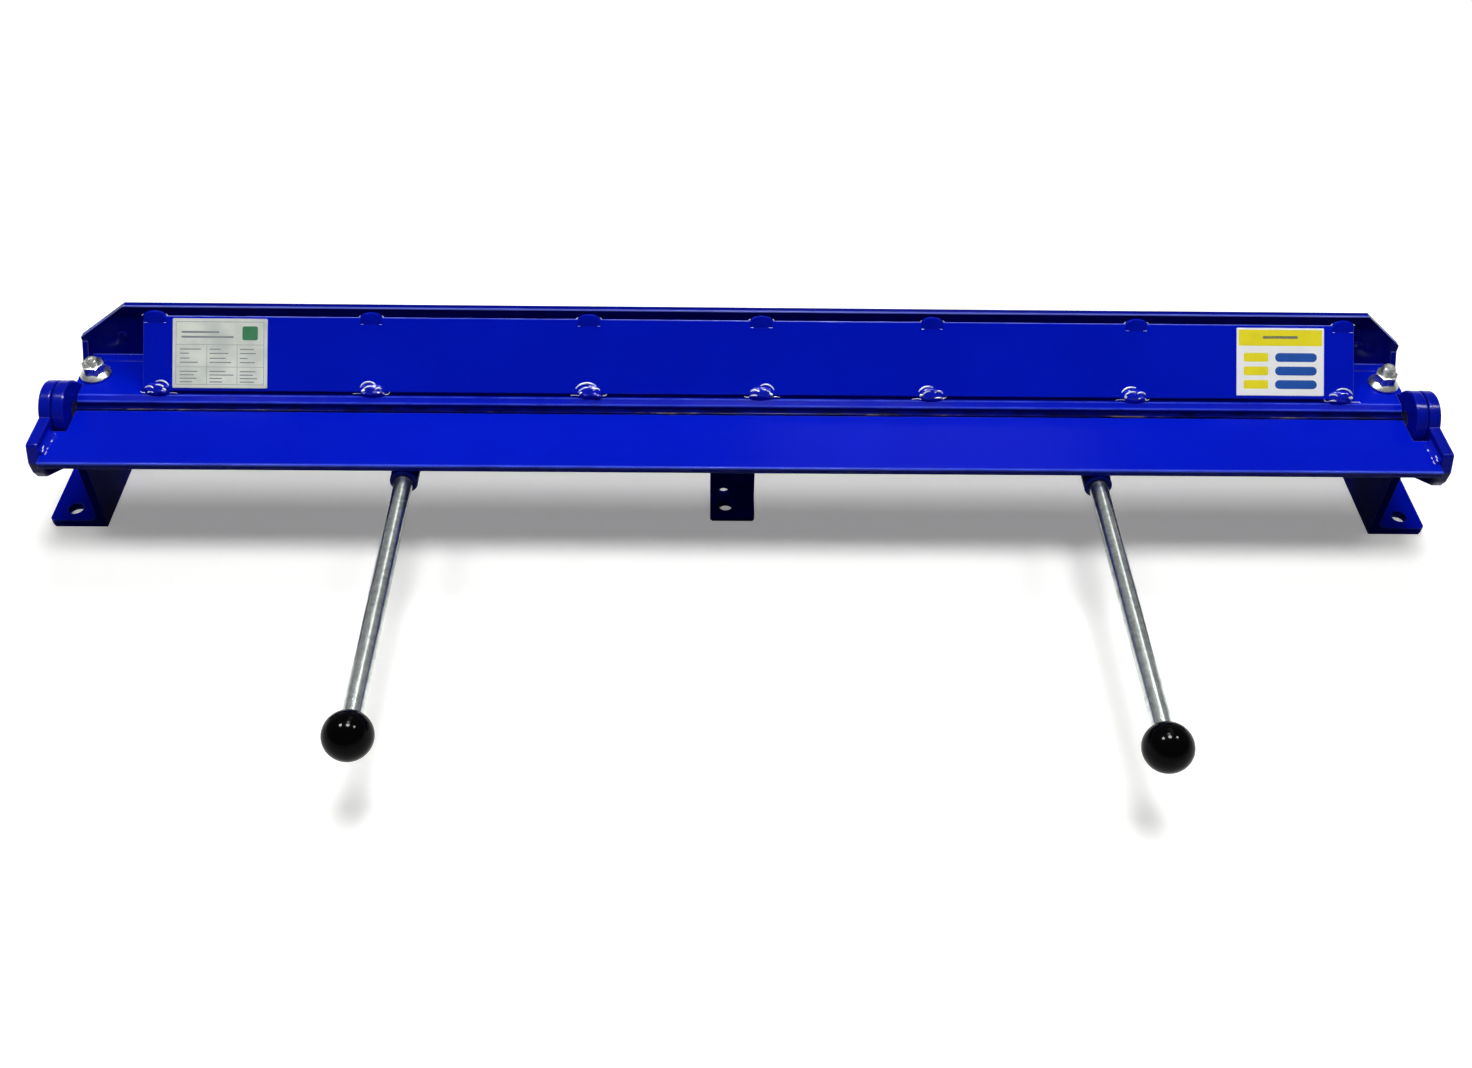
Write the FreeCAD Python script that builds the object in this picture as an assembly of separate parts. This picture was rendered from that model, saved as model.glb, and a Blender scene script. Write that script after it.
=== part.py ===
import FreeCAD, Part
import math
import os

# Bench-top bending machine for sheet metal, worked by hand.
# A steel angle on three feet is the bed. A second angle, the leaf, turns on two pins along
# the bed's front edge and has two ball-ended handles. A third angle, braced by a sloping flat
# bar, is drawn down on the sheet by a bolt and flange nut at each end.
# X runs along the bend, Y away from the user, Z up, all in millimetres. The origin is on the
# bench, straight under the hinge axis.

# Bed
bed_length = 916.0
bed_height = 87.0
bed_leg = 50.0
bed_wall = 5.0
bed_setback = 0.7

# Rolled corners that the angles share
root_radius = 6.0
small_root_radius = 3.0
edge_radius = 0.8

# End feet
foot_web_height = 63.0
foot_plate_width = 40.0
foot_wall = 6.0
foot_front = 25.4
foot_back = 55.0
foot_hole_d = 11.0
foot_hole_inset = 12.4
foot_hole_edge = 15.0
foot_corner = 3.0

# Middle foot
middle_foot_x = -7.7
middle_foot_width = 32.0
middle_foot_front = 16.3
middle_foot_height = 60.0
middle_foot_wall = 5.0
middle_foot_corner = 3.5
middle_hole_d = 10.0
middle_hole_x = -4.8
middle_hole_inset = 11.5
middle_vent_d = 7.4
middle_vent_x = -6.2
middle_vent_height = 8.8

# Hinge: plates fixed to the feet, pins, washers and retaining rings
hinge_plate = 8.0
hinge_disc_r = 20.0
hinge_tail_front = 12.0
hinge_tail_back = 18.0
hinge_tail_drop = 42.0
hinge_rim_r = 1.2
pin_d = 12.0
pin_recess = 0.3
pin_end = 1.2
washer_d = 20.0
washer_wall = 1.5
ring_d = 17.0
ring_wall = 1.0
ring_groove = 0.7
ring_mouth = 7.0

# Leaf
leaf_top_width = 54.7
leaf_drop = 50.0
leaf_wall = 5.0
leaf_setback = 0.7

# Arms that carry the leaf: distances in front of the hinge axis and above or below it
arm_wall = 8.0
arm_rise = 8.0
arm_brow_reach = 46.0
arm_reach = 51.3
arm_nose_drop = 4.0
arm_toe_reach = 50.3
arm_toe_drop = 13.0
arm_chin_reach = 47.2
arm_chin_drop = 19.0
arm_belly_reach = 21.0
arm_belly_drop = 34.5
arm_heel_drop = 43.0
arm_nose_r = 3.0

# Handles
handle_left_x = -228.0
handle_right_x = 237.0
rod_d = 12.7
rod_length = 247.0
rod_left_depth = 36.0
rod_right_depth = 29.5
socket_d = 18.6
socket_proud = 1.0
ball_d = 30.0
ball_face_d = 17.0
rod_chamfer = 1.0

# Clamp
clamp_overhang = 4.5
clamp_leg = 50.0
clamp_wall = 5.0
clamp_setback = 5.0
nose_height = 2.5
nose_depth = 4.5
chamfer_left_run = 36.5
chamfer_left_drop = 27.0
chamfer_right_run = 29.0
chamfer_right_drop = 25.0
gusset_wall = 4.0
gusset_depth = 11.0
gusset_height = 15.0

# Sloping bar inside the clamp: set in from its ends, behind its bevel and below its top
bar_left_inset = 50.05
bar_right_inset = 39.45
bar_foot_gap = 4.0
bar_top_gap = 8.5
bar_wall = 5.0

# Rating plate and label on the bar, beside its first and last stitch welds
plate_gap = 1.2
plate_width = 64.5
plate_height = 47.7
plate_wall = 0.8
label_gap = 2.05
label_width = 61.0
label_height = 47.0
label_wall = 0.4

# Clamp bolts and flange nuts
bolt_d = 10.0
bolt_left_length = 24.0
bolt_right_length = 26.5
bolt_back = 31.2
bolt_inset = 6.7
bolt_head_flats = 16.0
bolt_head_height = 6.4
bolt_chamfer = 1.0
nut_flats = 15.0
nut_height = 10.0
nut_flange_d = 20.8
nut_flange_rim = 1.6
nut_flange_rise = 2.4
nut_chamfer = 0.8

# Welds
stitch_shares = (0.0, 0.18, 0.362, 0.507, 0.651, 0.824, 1.0)
upper_stitch_r = 7.75
lower_stitch_r = 9.5
stitch_overlap = 5.5
stitch_top_gap = 1.8
upper_stitch_bulge = 1.8
lower_stitch_bulge = 2.4
weld_leg = 4.0
small_weld_leg = 3.0
arm_weld_end = 1.0

# Clearances and fits
clamp_gap = 0.5
arm_gap = 0.8
leaf_end_gap = 1.0
flange_end_gap = 3.0
disc_gap = 3.0
clamp_end_gap = 0.5
clamp_notch_gap = 1.0
washer_gap = 0.3
nut_seat_gap = 0.3
pin_fit = 0.05
thread_fit = 0.05
bolt_hole_gap = 0.5

# Places worked out from the sizes
bed_end = bed_length / 2
bed_front_back = bed_setback + bed_wall
web_inner = bed_end - foot_wall
plate_outer = bed_end + hinge_plate
arm_inner = plate_outer + arm_gap
arm_outer = arm_inner + arm_wall
leaf_under = bed_height - leaf_wall
leaf_front = -leaf_setback - leaf_top_width
leaf_flange_front = -leaf_setback - leaf_wall
clamp_end = bed_end + clamp_overhang
clamp_bottom = bed_height + clamp_gap
clamp_seat = clamp_bottom + clamp_wall
clamp_top = clamp_bottom + clamp_leg
clamp_face = clamp_setback + clamp_leg - clamp_wall
gusset_inner = clamp_end - gusset_wall
bolt_x = bed_end - bolt_inset
bar_start = bar_left_inset - clamp_end
bar_finish = clamp_end - bar_right_inset
bar_foot_y = clamp_setback + nose_depth + bar_foot_gap
bar_run = clamp_face - bar_foot_y
bar_rise = clamp_top - bar_top_gap - clamp_seat
bar_width = math.hypot(bar_run, bar_rise)
bar_slope = math.atan2(bar_rise, bar_run)

ORIGIN = FreeCAD.Vector(0, 0, 0)
ALONG_X = FreeCAD.Vector(1, 0, 0)
ALONG_Y = FreeCAD.Vector(0, 1, 0)
UP = FreeCAD.Vector(0, 0, 1)
REACH = 2 * bed_length


def place(axis, along, first, second):
    """Point at a position along an axis, with its two other coordinates in order."""
    if axis == "x":
        return FreeCAD.Vector(along, first, second)
    if axis == "y":
        return FreeCAD.Vector(first, along, second)
    return FreeCAD.Vector(first, second, along)


def prism(axis, start, finish, outline):
    """Solid between two positions along an axis, with a straight-sided outline across it."""
    corners = [place(axis, start, first, second) for first, second in outline]
    face = Part.Face(Part.makePolygon(corners + corners[:1]))
    return face.extrude(place(axis, finish - start, 0, 0))


def block(x0, x1, y0, y1, z0, z1):
    return Part.makeBox(x1 - x0, y1 - y0, z1 - z0, FreeCAD.Vector(x0, y0, z0))


def rounded(shape, radius, axis, places):
    """Round the straight edges that run along an axis through the given places."""
    edges = []
    for edge in shape.Edges:
        ends = [vertex.Point for vertex in edge.Vertexes]
        middle = edge.CenterOfMass
        for first, second in places:
            if all((end - place(axis, getattr(end, axis), first, second)).Length < 0.001
                   for end in ends + [middle]):
                edges.append(edge)
    return shape.makeFillet(radius, edges)


def angle_bar(axis, start, finish, corner, legs, wall, root):
    """Rolled angle along an axis: its outer corner, and its two legs as signed lengths."""
    a, b = corner
    leg_a, leg_b = legs
    wall_a = math.copysign(wall, leg_a)
    wall_b = math.copysign(wall, leg_b)
    bar = prism(axis, start, finish, [
        (a, b), (a + leg_a, b), (a + leg_a, b + wall_b),
        (a + wall_a, b + wall_b), (a + wall_a, b + leg_b), (a, b + leg_b)])
    bar = rounded(bar, root, axis, [(a + wall_a, b + wall_b)])
    return rounded(bar, edge_radius, axis, [
        (a, b), (a + leg_a, b), (a + leg_a, b + wall_b),
        (a + wall_a, b + leg_b), (a, b + leg_b)])


def cylinder(diameter, length, base, direction):
    return Part.makeCylinder(diameter / 2, length, base, direction)


def top_rim(upright):
    """Edge around the top of an upright cylinder."""
    return [edge for edge in upright.Edges
            if abs(edge.BoundBox.ZMin - upright.BoundBox.ZMax) < 0.001]


def hexagon(flats, height, base, chamfer):
    """Upright hexagon whose corners are chamfered at the top."""
    corner_r = flats / math.sqrt(3)
    turn = math.pi / 3
    outline = [(base.x + corner_r * math.cos(turn * i), base.y + corner_r * math.sin(turn * i))
               for i in range(6)]
    body = prism("z", base.z, base.z + height, outline)
    stock = Part.makeCylinder(corner_r, height, base, UP)
    return body.common(stock.makeChamfer(chamfer, top_rim(stock)))


def mirrored(shape):
    return shape.mirror(ORIGIN, ALONG_X)


def write(name, *shapes):
    """Save one node: a solid, or a group of alike solids."""
    solids = [solid for shape in shapes for solid in shape.Solids]
    whole = solids[0] if len(solids) == 1 else Part.makeCompound(solids)
    whole.exportStep(os.path.join("parts", name + ".step"))


def write_pair(name, right):
    write("right_" + name, right)
    write("left_" + name, mirrored(right))


def bed_angle():
    """Angle with its flat top behind the hinge line and its front leg hanging down."""
    bar = angle_bar("x", -bed_end, bed_end, (bed_setback, bed_height), (bed_leg, -bed_leg),
                    bed_wall, root_radius)
    for side in (-1, 1):
        low, high = sorted((side * web_inner, side * REACH))
        bar = bar.cut(block(low, high, 0, bed_front_back + root_radius,
                            bed_height - bed_leg, bed_height - bed_wall))
        bar = bar.cut(cylinder(bolt_d + 2 * bolt_hole_gap, bed_wall,
                               FreeCAD.Vector(side * bolt_x, bolt_back, bed_height - bed_wall), UP))
    return bar


def end_foot():
    """Right foot: a short angle whose web stands under the bed's end and whose plate points out."""
    foot = angle_bar("y", -foot_front, foot_back, (web_inner, 0),
                     (foot_plate_width, foot_web_height), foot_wall, root_radius)
    plate_end = web_inner + foot_plate_width
    corner = prism("z", 0, foot_wall, [
        (plate_end, -foot_front), (plate_end, -foot_front + foot_corner),
        (plate_end - foot_corner, -foot_front)])
    foot = foot.cut(corner)
    for y in (-foot_front + foot_hole_inset, foot_back - foot_hole_inset):
        hole_at = FreeCAD.Vector(plate_end - foot_hole_edge, y, 0)
        foot = foot.cut(cylinder(foot_hole_d, foot_wall, hole_at, UP))
    return foot


def middle_foot():
    """Short angle behind the bed's front leg, with a hole in its plate and one in its leg."""
    start = middle_foot_x - middle_foot_width / 2
    finish = middle_foot_x + middle_foot_width / 2
    back = bed_front_back + middle_foot_wall
    foot = angle_bar("x", start, finish, (back, 0),
                     (-middle_foot_front - back, middle_foot_height),
                     middle_foot_wall, small_root_radius)
    for x, step in ((start, 1), (finish, -1)):
        square = block(min(x, x + step * middle_foot_corner), max(x, x + step * middle_foot_corner),
                       -middle_foot_front, -middle_foot_front + middle_foot_corner,
                       0, middle_foot_wall)
        centre = FreeCAD.Vector(x + step * middle_foot_corner,
                                -middle_foot_front + middle_foot_corner, 0)
        foot = foot.cut(square.cut(cylinder(2 * middle_foot_corner, middle_foot_wall, centre, UP)))
    hole_at = FreeCAD.Vector(middle_foot_x + middle_hole_x,
                             -middle_foot_front + middle_hole_inset, 0)
    foot = foot.cut(cylinder(middle_hole_d, middle_foot_wall, hole_at, UP))
    vent_at = FreeCAD.Vector(middle_foot_x + middle_vent_x, bed_front_back - small_root_radius,
                             middle_vent_height)
    return foot.cut(cylinder(middle_vent_d, middle_foot_wall + small_root_radius, vent_at, ALONG_Y))


def hinge_disc(inner, wall):
    """Round end of a hinge plate or arm, centred on the hinge axis."""
    return cylinder(2 * hinge_disc_r, wall, FreeCAD.Vector(inner, 0, bed_height), ALONG_X)


def softened_rims(shape, inner, wall):
    """Round the long rims of both faces of a hinge plate or arm."""
    rims = []
    for edge in shape.Edges:
        flat = abs(edge.BoundBox.XMax - edge.BoundBox.XMin) < 0.001
        on_face = min(abs(edge.BoundBox.XMin - x) for x in (inner, inner + wall)) < 0.001
        if flat and on_face:
            rims.append(edge)
    return shape.makeFillet(hinge_rim_r, rims)


def fixed_hinge_plate():
    """Right plate on the foot's outer face: a disc around the pin and a tail below it."""
    bottom = bed_height - hinge_tail_drop
    tail = block(bed_end, plate_outer, -hinge_tail_front, hinge_tail_back, bottom, bed_height)
    plate = hinge_disc(bed_end, hinge_plate).fuse(tail).removeSplitter()
    plate = softened_rims(plate, bed_end, hinge_plate)
    return plate.cut(cylinder(pin_d, REACH, FreeCAD.Vector(0, 0, bed_height), ALONG_X))


def swing_arm():
    """Right arm outside the fixed plate, running forward beside the leaf's end."""
    outline = [(0, arm_rise), (-arm_brow_reach, arm_rise), (-arm_reach, -arm_nose_drop),
               (-arm_toe_reach, -arm_toe_drop), (-arm_chin_reach, -arm_chin_drop),
               (-arm_belly_reach, -arm_belly_drop), (-leaf_setback, -arm_heel_drop), (0, 0)]
    beam = prism("x", arm_inner, arm_outer, [(y, bed_height + z) for y, z in outline])
    beam = rounded(beam, arm_nose_r, "x", [(-arm_brow_reach, bed_height + arm_rise)])
    arm = hinge_disc(arm_inner, arm_wall).fuse(beam).removeSplitter()
    arm = softened_rims(arm, arm_inner, arm_wall)
    return arm.cut(cylinder(pin_d + 2 * pin_fit, REACH, FreeCAD.Vector(0, 0, bed_height), ALONG_X))


def hinge_pin():
    """Right pin, pressed into the fixed plate, grooved for its ring outside the arm."""
    start = bed_end + pin_recess
    ring_at = arm_outer + washer_gap + washer_wall
    finish = ring_at + ring_wall + pin_end
    axis_at = FreeCAD.Vector(start, 0, bed_height)
    pin = cylinder(pin_d, finish - start, axis_at, ALONG_X)
    groove_at = FreeCAD.Vector(ring_at, 0, bed_height)
    groove = cylinder(2 * pin_d, ring_wall, groove_at, ALONG_X)
    core = cylinder(pin_d - 2 * ring_groove, ring_wall, groove_at, ALONG_X)
    return pin.cut(groove.cut(core))


def pin_washer():
    start = FreeCAD.Vector(arm_outer + washer_gap, 0, bed_height)
    disc = cylinder(washer_d, washer_wall, start, ALONG_X)
    return disc.cut(cylinder(pin_d + 2 * pin_fit, washer_wall, start, ALONG_X))


def retaining_ring():
    """Open ring in the pin's groove, with its mouth downwards."""
    start = FreeCAD.Vector(arm_outer + washer_gap + washer_wall, 0, bed_height)
    ring = cylinder(ring_d, ring_wall, start, ALONG_X)
    ring = ring.cut(cylinder(pin_d - 2 * ring_groove, ring_wall, start, ALONG_X))
    return ring.cut(block(start.x, start.x + ring_wall, -ring_mouth / 2, ring_mouth / 2,
                          bed_height - ring_d, bed_height))


def leaf_angle():
    """Angle in front of the bed: flat top flush with the bed's, its other leg hanging down."""
    bar = angle_bar("x", -arm_inner, arm_inner, (-leaf_setback, bed_height),
                    (-leaf_top_width, -leaf_drop), leaf_wall, root_radius)
    root_front = leaf_flange_front - root_radius
    for side in (-1, 1):
        low, high = sorted((side * (bed_end - leaf_end_gap), side * REACH))
        bar = bar.cut(block(low, high, -hinge_disc_r - disc_gap, 0, 0, REACH))
        low, high = sorted((side * (web_inner - flange_end_gap), side * REACH))
        bar = bar.cut(block(low, high, root_front, 0, bed_height - leaf_drop, leaf_under))
    return bar


def socket(x):
    """Threaded tube under the leaf, from just in front of its edge back to its down leg."""
    mouth = leaf_front - socket_proud
    tube = cylinder(socket_d, leaf_flange_front - mouth,
                    FreeCAD.Vector(x, mouth, leaf_under - socket_d / 2), ALONG_Y)
    bore = cylinder(rod_d, leaf_flange_front - mouth,
                    FreeCAD.Vector(x, mouth, leaf_under - socket_d / 2), ALONG_Y)
    return tube.cut(bore).cut(leaf_angle())


def socket_welds(x):
    """Two beads in the grooves between a socket and the leaf."""
    axis_z = leaf_under - socket_d / 2
    tube = cylinder(socket_d, leaf_top_width, FreeCAD.Vector(x, leaf_front, axis_z), ALONG_Y)
    beads = []
    for side in (-1, 1):
        near = x + side * small_weld_leg
        far = x + side * socket_d / 2
        bead = prism("y", leaf_front + small_weld_leg, leaf_flange_front - 2 * root_radius, [
            (near, leaf_under), (far, leaf_under), (near, leaf_under - socket_d / 4)])
        beads.append(bead.cut(tube))
    return beads


def rod(x, depth):
    """Plain steel handle rod, screwed into its socket to the given depth."""
    inner = leaf_front - socket_proud + depth
    outer = FreeCAD.Vector(x, inner - rod_length, leaf_under - socket_d / 2)
    bar = cylinder(rod_d, rod_length, outer, ALONG_Y)
    ends = [edge for edge in bar.Edges if edge.BoundBox.YLength < 0.001]
    return bar.makeChamfer(rod_chamfer, ends)


def ball_knob(x, depth):
    """Ball screwed on the rod's end up to its middle, with a flat face around the rod."""
    centre = FreeCAD.Vector(x, leaf_front - socket_proud + depth - rod_length,
                            leaf_under - socket_d / 2)
    ball = Part.makeSphere(ball_d / 2, centre)
    face_back = math.sqrt(ball_d ** 2 - ball_face_d ** 2) / 2
    ball = ball.cut(block(x - ball_d, x + ball_d, centre.y + face_back, centre.y + ball_d,
                          centre.z - ball_d, centre.z + ball_d))
    return ball.cut(cylinder(rod_d, ball_d, centre, ALONG_Y))


def arm_welds():
    """Right beads between the arm and the leaf's end, above and below the leaf."""
    start = -arm_brow_reach - arm_weld_end
    finish = -hinge_disc_r - disc_gap - small_weld_leg / 2
    beads = []
    for surface, step in ((bed_height, weld_leg), (leaf_under, -weld_leg)):
        beads.append(prism("y", start, finish, [
            (arm_inner, surface), (arm_inner - weld_leg, surface), (arm_inner, surface + step)]))
    return beads


def foot_welds():
    """Right beads: bed leg to foot web, and hinge plate to foot web."""
    leg_bottom = bed_height - bed_leg
    inside = prism("z", leg_bottom, foot_web_height, [
        (web_inner, bed_front_back), (web_inner - weld_leg, bed_front_back),
        (web_inner, bed_front_back + weld_leg)])
    outside = prism("z", bed_height - hinge_tail_drop + hinge_rim_r, foot_web_height, [
        (bed_end, hinge_tail_back), (bed_end + weld_leg, hinge_tail_back),
        (bed_end, hinge_tail_back + weld_leg)])
    return [inside, outside]


def middle_foot_welds():
    """Beads along both sides of the middle foot, on the back of the bed's front leg."""
    beads = []
    for side in (-1, 1):
        x = middle_foot_x + side * middle_foot_width / 2
        beads.append(prism("z", bed_height - bed_leg, middle_foot_height, [
            (x, bed_front_back), (x + side * weld_leg, bed_front_back),
            (x, bed_front_back + weld_leg)]))
    return beads


def clamp_angle():
    """Angle on top of the bed, its upright leg at the back and its thin nose at the bend line."""
    back = clamp_setback + clamp_leg
    bar = angle_bar("x", -clamp_end, clamp_end, (back, clamp_bottom), (-clamp_leg, clamp_leg),
                    clamp_wall, small_root_radius)
    bevel = prism("x", -REACH, REACH, [
        (clamp_setback - nose_depth, clamp_bottom + nose_height),
        (clamp_setback, clamp_bottom + nose_height),
        (clamp_setback + nose_depth, clamp_seat),
        (clamp_setback - nose_depth, clamp_seat + nose_depth)])
    bar = bar.cut(bevel)
    corners = ((-1, chamfer_left_run, chamfer_left_drop), (1, chamfer_right_run, chamfer_right_drop))
    for side, run, drop in corners:
        low, high = sorted((side * (bed_end - clamp_end_gap), side * REACH))
        bar = bar.cut(block(low, high, 0, hinge_disc_r + clamp_notch_gap, 0, REACH))
        bar = bar.cut(prism("y", 0, REACH, [
            (side * clamp_end, clamp_top), (side * (clamp_end - run), clamp_top),
            (side * clamp_end, clamp_top - drop)]))
        bar = bar.cut(cylinder(bolt_d + 2 * bolt_hole_gap, clamp_wall,
                               FreeCAD.Vector(side * bolt_x, bolt_back, clamp_bottom), UP))
    return bar


def bar_point(along, out):
    """Place across the sloping bar: along its width from its foot, and out from its back face."""
    return (bar_foot_y + along * math.cos(bar_slope) - out * math.sin(bar_slope),
            clamp_seat + along * math.sin(bar_slope) + out * math.cos(bar_slope))


def on_bar(x0, x1, along0, along1, out0, out1):
    """Slab parallel to the sloping bar's faces."""
    return prism("x", x0, x1, [bar_point(along0, out0), bar_point(along1, out0),
                               bar_point(along1, out1), bar_point(along0, out1)])


def sloping_bar():
    bar = on_bar(bar_start, bar_finish, 0, bar_width, 0, bar_wall)
    return rounded(bar, edge_radius, "x", [bar_point(0, bar_wall), bar_point(bar_width, bar_wall)])


def flat_on_bar(x0, x1, height, wall):
    """Thin plate or label halfway up the bar's front face."""
    low = (bar_width - height) / 2
    return on_bar(x0, x1, low, low + height, bar_wall, bar_wall + wall)


def rating_plate():
    left = bar_start + 2 * lower_stitch_r + plate_gap
    return flat_on_bar(left, left + plate_width, plate_height, plate_wall)


def label():
    right = bar_finish - 2 * lower_stitch_r - label_gap
    return flat_on_bar(right - label_width, right, label_height, label_wall)


def stitch_centres(radius):
    """Places of the stitch welds along the bar, the first and last flush with its ends."""
    start = bar_start + radius
    run = bar_finish - bar_start - 2 * radius
    return [start + share * run for share in stitch_shares]


def stitch_weld(x, radius, corners, bulge, along):
    """Weld bead with a bulged face, trimmed round as seen square to the bar."""
    first = corners[0]
    last = corners[-1]
    chord_y = first[0] - last[0]
    chord_z = first[1] - last[1]
    chord = math.hypot(chord_y, chord_z)
    crown = ((first[0] + last[0]) / 2 - bulge * chord_z / chord,
             (first[1] + last[1]) / 2 + bulge * chord_y / chord)
    points = [place("x", x - radius, y, z) for y, z in corners]
    edges = Part.makePolygon(points).Edges
    face_arc = Part.Arc(points[-1], place("x", x - radius, *crown), points[0])
    face = Part.Face(Part.Wire(edges + [face_arc.toShape()]))
    bead = face.extrude(FreeCAD.Vector(2 * radius, 0, 0))
    lean = FreeCAD.Vector(0, -math.sin(bar_slope), math.cos(bar_slope))
    centre = place("x", x, *bar_point(along, -bar_width))
    return bead.common(Part.makeCylinder(radius, 2 * bar_width, centre, lean))


def upper_stitches():
    corners = [(clamp_face, clamp_top - stitch_top_gap), bar_point(bar_width, 0),
               bar_point(bar_width, bar_wall), bar_point(bar_width - stitch_overlap, bar_wall)]
    return [stitch_weld(x, upper_stitch_r, corners, upper_stitch_bulge, bar_width)
            for x in stitch_centres(upper_stitch_r)]


def lower_stitches():
    toe = (clamp_setback + nose_depth, clamp_seat)
    corners = [bar_point(stitch_overlap, bar_wall), bar_point(0, bar_wall), bar_point(0, 0), toe]
    return [stitch_weld(x, lower_stitch_r, corners, lower_stitch_bulge, 0)
            for x in stitch_centres(lower_stitch_r)]


def crease_welds():
    """Beads in the clamp's inner corner, between each end of the bar and the gusset."""
    outline = [(clamp_face, clamp_seat), (clamp_face - weld_leg, clamp_seat),
               (clamp_face, clamp_seat + weld_leg)]
    spans = ((-gusset_inner, bar_start - weld_leg / 2), (bar_finish + weld_leg / 2, gusset_inner))
    return [prism("x", start, finish, outline).cut(clamp_angle()) for start, finish in spans]


def gusset():
    """Right triangle that closes the clamp's end."""
    outline = [(clamp_face, clamp_seat), (clamp_face - gusset_depth, clamp_seat),
               (clamp_face, clamp_seat + gusset_height)]
    return prism("x", gusset_inner, clamp_end, outline).cut(clamp_angle())


def clamp_bolt(length):
    """Right bolt: its head under the bed, its shank up through bed and clamp."""
    seat = bed_height - bed_wall
    base = FreeCAD.Vector(bolt_x, bolt_back, seat)
    shank = cylinder(bolt_d, length, base, UP)
    shank = shank.makeChamfer(bolt_chamfer, top_rim(shank))
    head = hexagon(bolt_head_flats, bolt_head_height, FreeCAD.Vector(bolt_x, bolt_back, 0),
                   bolt_chamfer)
    head = head.mirror(ORIGIN, UP)
    head.translate(FreeCAD.Vector(0, 0, seat))
    return shank.fuse(head)


def clamp_nut():
    """Right hexagon nut with a round flange, on the clamp."""
    base = FreeCAD.Vector(bolt_x, bolt_back, clamp_seat + nut_seat_gap)
    hexagon_part = hexagon(nut_flats, nut_height, base, nut_chamfer)
    rim = cylinder(nut_flange_d, nut_flange_rim, base, UP)
    skirt = Part.makeCone(nut_flange_d / 2, nut_flats / 2, nut_flange_rise,
                          base + UP * nut_flange_rim, UP)
    nut = hexagon_part.fuse([rim, skirt])
    return nut.cut(cylinder(bolt_d + 2 * thread_fit, nut_height, base, UP))


os.makedirs("parts", exist_ok=True)

write("bed_angle", bed_angle())
write_pair("foot", end_foot())
write("middle_foot", middle_foot())
write_pair("hinge_plate", fixed_hinge_plate())
write_pair("hinge_pin", hinge_pin())
write_pair("pin_washer", pin_washer())
write_pair("retaining_ring", retaining_ring())
write("left_clamp_bolt", mirrored(clamp_bolt(bolt_left_length)))
write("right_clamp_bolt", clamp_bolt(bolt_right_length))
write("foot_welds", *foot_welds(), *[mirrored(bead) for bead in foot_welds()], *middle_foot_welds())

write("leaf_angle", leaf_angle())
write_pair("arm", swing_arm())
write("arm_welds", *arm_welds(), *[mirrored(bead) for bead in arm_welds()])
handles = (("left", handle_left_x, rod_left_depth), ("right", handle_right_x, rod_right_depth))
for side, x, depth in handles:
    write(side + "_socket", socket(x))
    write(side + "_rod", rod(x, depth))
    write(side + "_knob", ball_knob(x, depth))
write("socket_welds", *socket_welds(handle_left_x), *socket_welds(handle_right_x))

write("clamp_angle", clamp_angle())
write("stiffener_plate", sloping_bar())
write_pair("gusset", gusset())
write("upper_stitch_welds", *upper_stitches())
write("lower_stitch_welds", *lower_stitches())
write("crease_welds", *crease_welds())
write("rating_plate", rating_plate())
write("label", label())

write_pair("clamp_nut", clamp_nut())
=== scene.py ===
import math
import random

import bmesh
import bpy
from mathutils import Matrix, Vector, noise


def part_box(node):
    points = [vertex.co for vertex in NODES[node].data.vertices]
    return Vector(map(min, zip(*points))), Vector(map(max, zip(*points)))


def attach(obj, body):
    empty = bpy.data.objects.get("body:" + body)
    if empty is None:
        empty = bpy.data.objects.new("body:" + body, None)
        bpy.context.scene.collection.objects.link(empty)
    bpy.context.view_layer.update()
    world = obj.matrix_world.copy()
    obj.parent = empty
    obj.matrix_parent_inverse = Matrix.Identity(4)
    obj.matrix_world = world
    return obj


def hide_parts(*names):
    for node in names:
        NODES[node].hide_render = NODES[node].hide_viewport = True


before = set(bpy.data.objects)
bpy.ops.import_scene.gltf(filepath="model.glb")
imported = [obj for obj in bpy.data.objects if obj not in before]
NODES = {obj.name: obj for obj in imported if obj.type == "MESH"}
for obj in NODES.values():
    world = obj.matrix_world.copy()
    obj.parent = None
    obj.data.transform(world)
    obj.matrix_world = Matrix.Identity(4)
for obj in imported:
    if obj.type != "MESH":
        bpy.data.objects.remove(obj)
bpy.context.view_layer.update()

# Dressing of the sheet-metal bending machine: a finish for each part, and finer pieces for the
# welds, nuts, bolts, sockets, ball ends, rating plate and label. Lengths are in metres, in the
# part's own frame: X along the bend, Y away from the user, Z up.
MM = 0.001
HANDED = ("left", "right")
WALL = 5 * MM
ROD_RADIUS = 6.35 * MM

# Camera of the photograph
CAMERA_AT = Vector((-0.0248, -0.7905, 0.7490))
CAMERA_DOWN = math.radians(44.522)
CAMERA_YAW = math.radians(1.489)
CAMERA_ROLL = math.radians(1.380)
CAMERA_LENS = 36.48
CAMERA_CLIP = 10 * MM
SENSOR = 36.0

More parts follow.
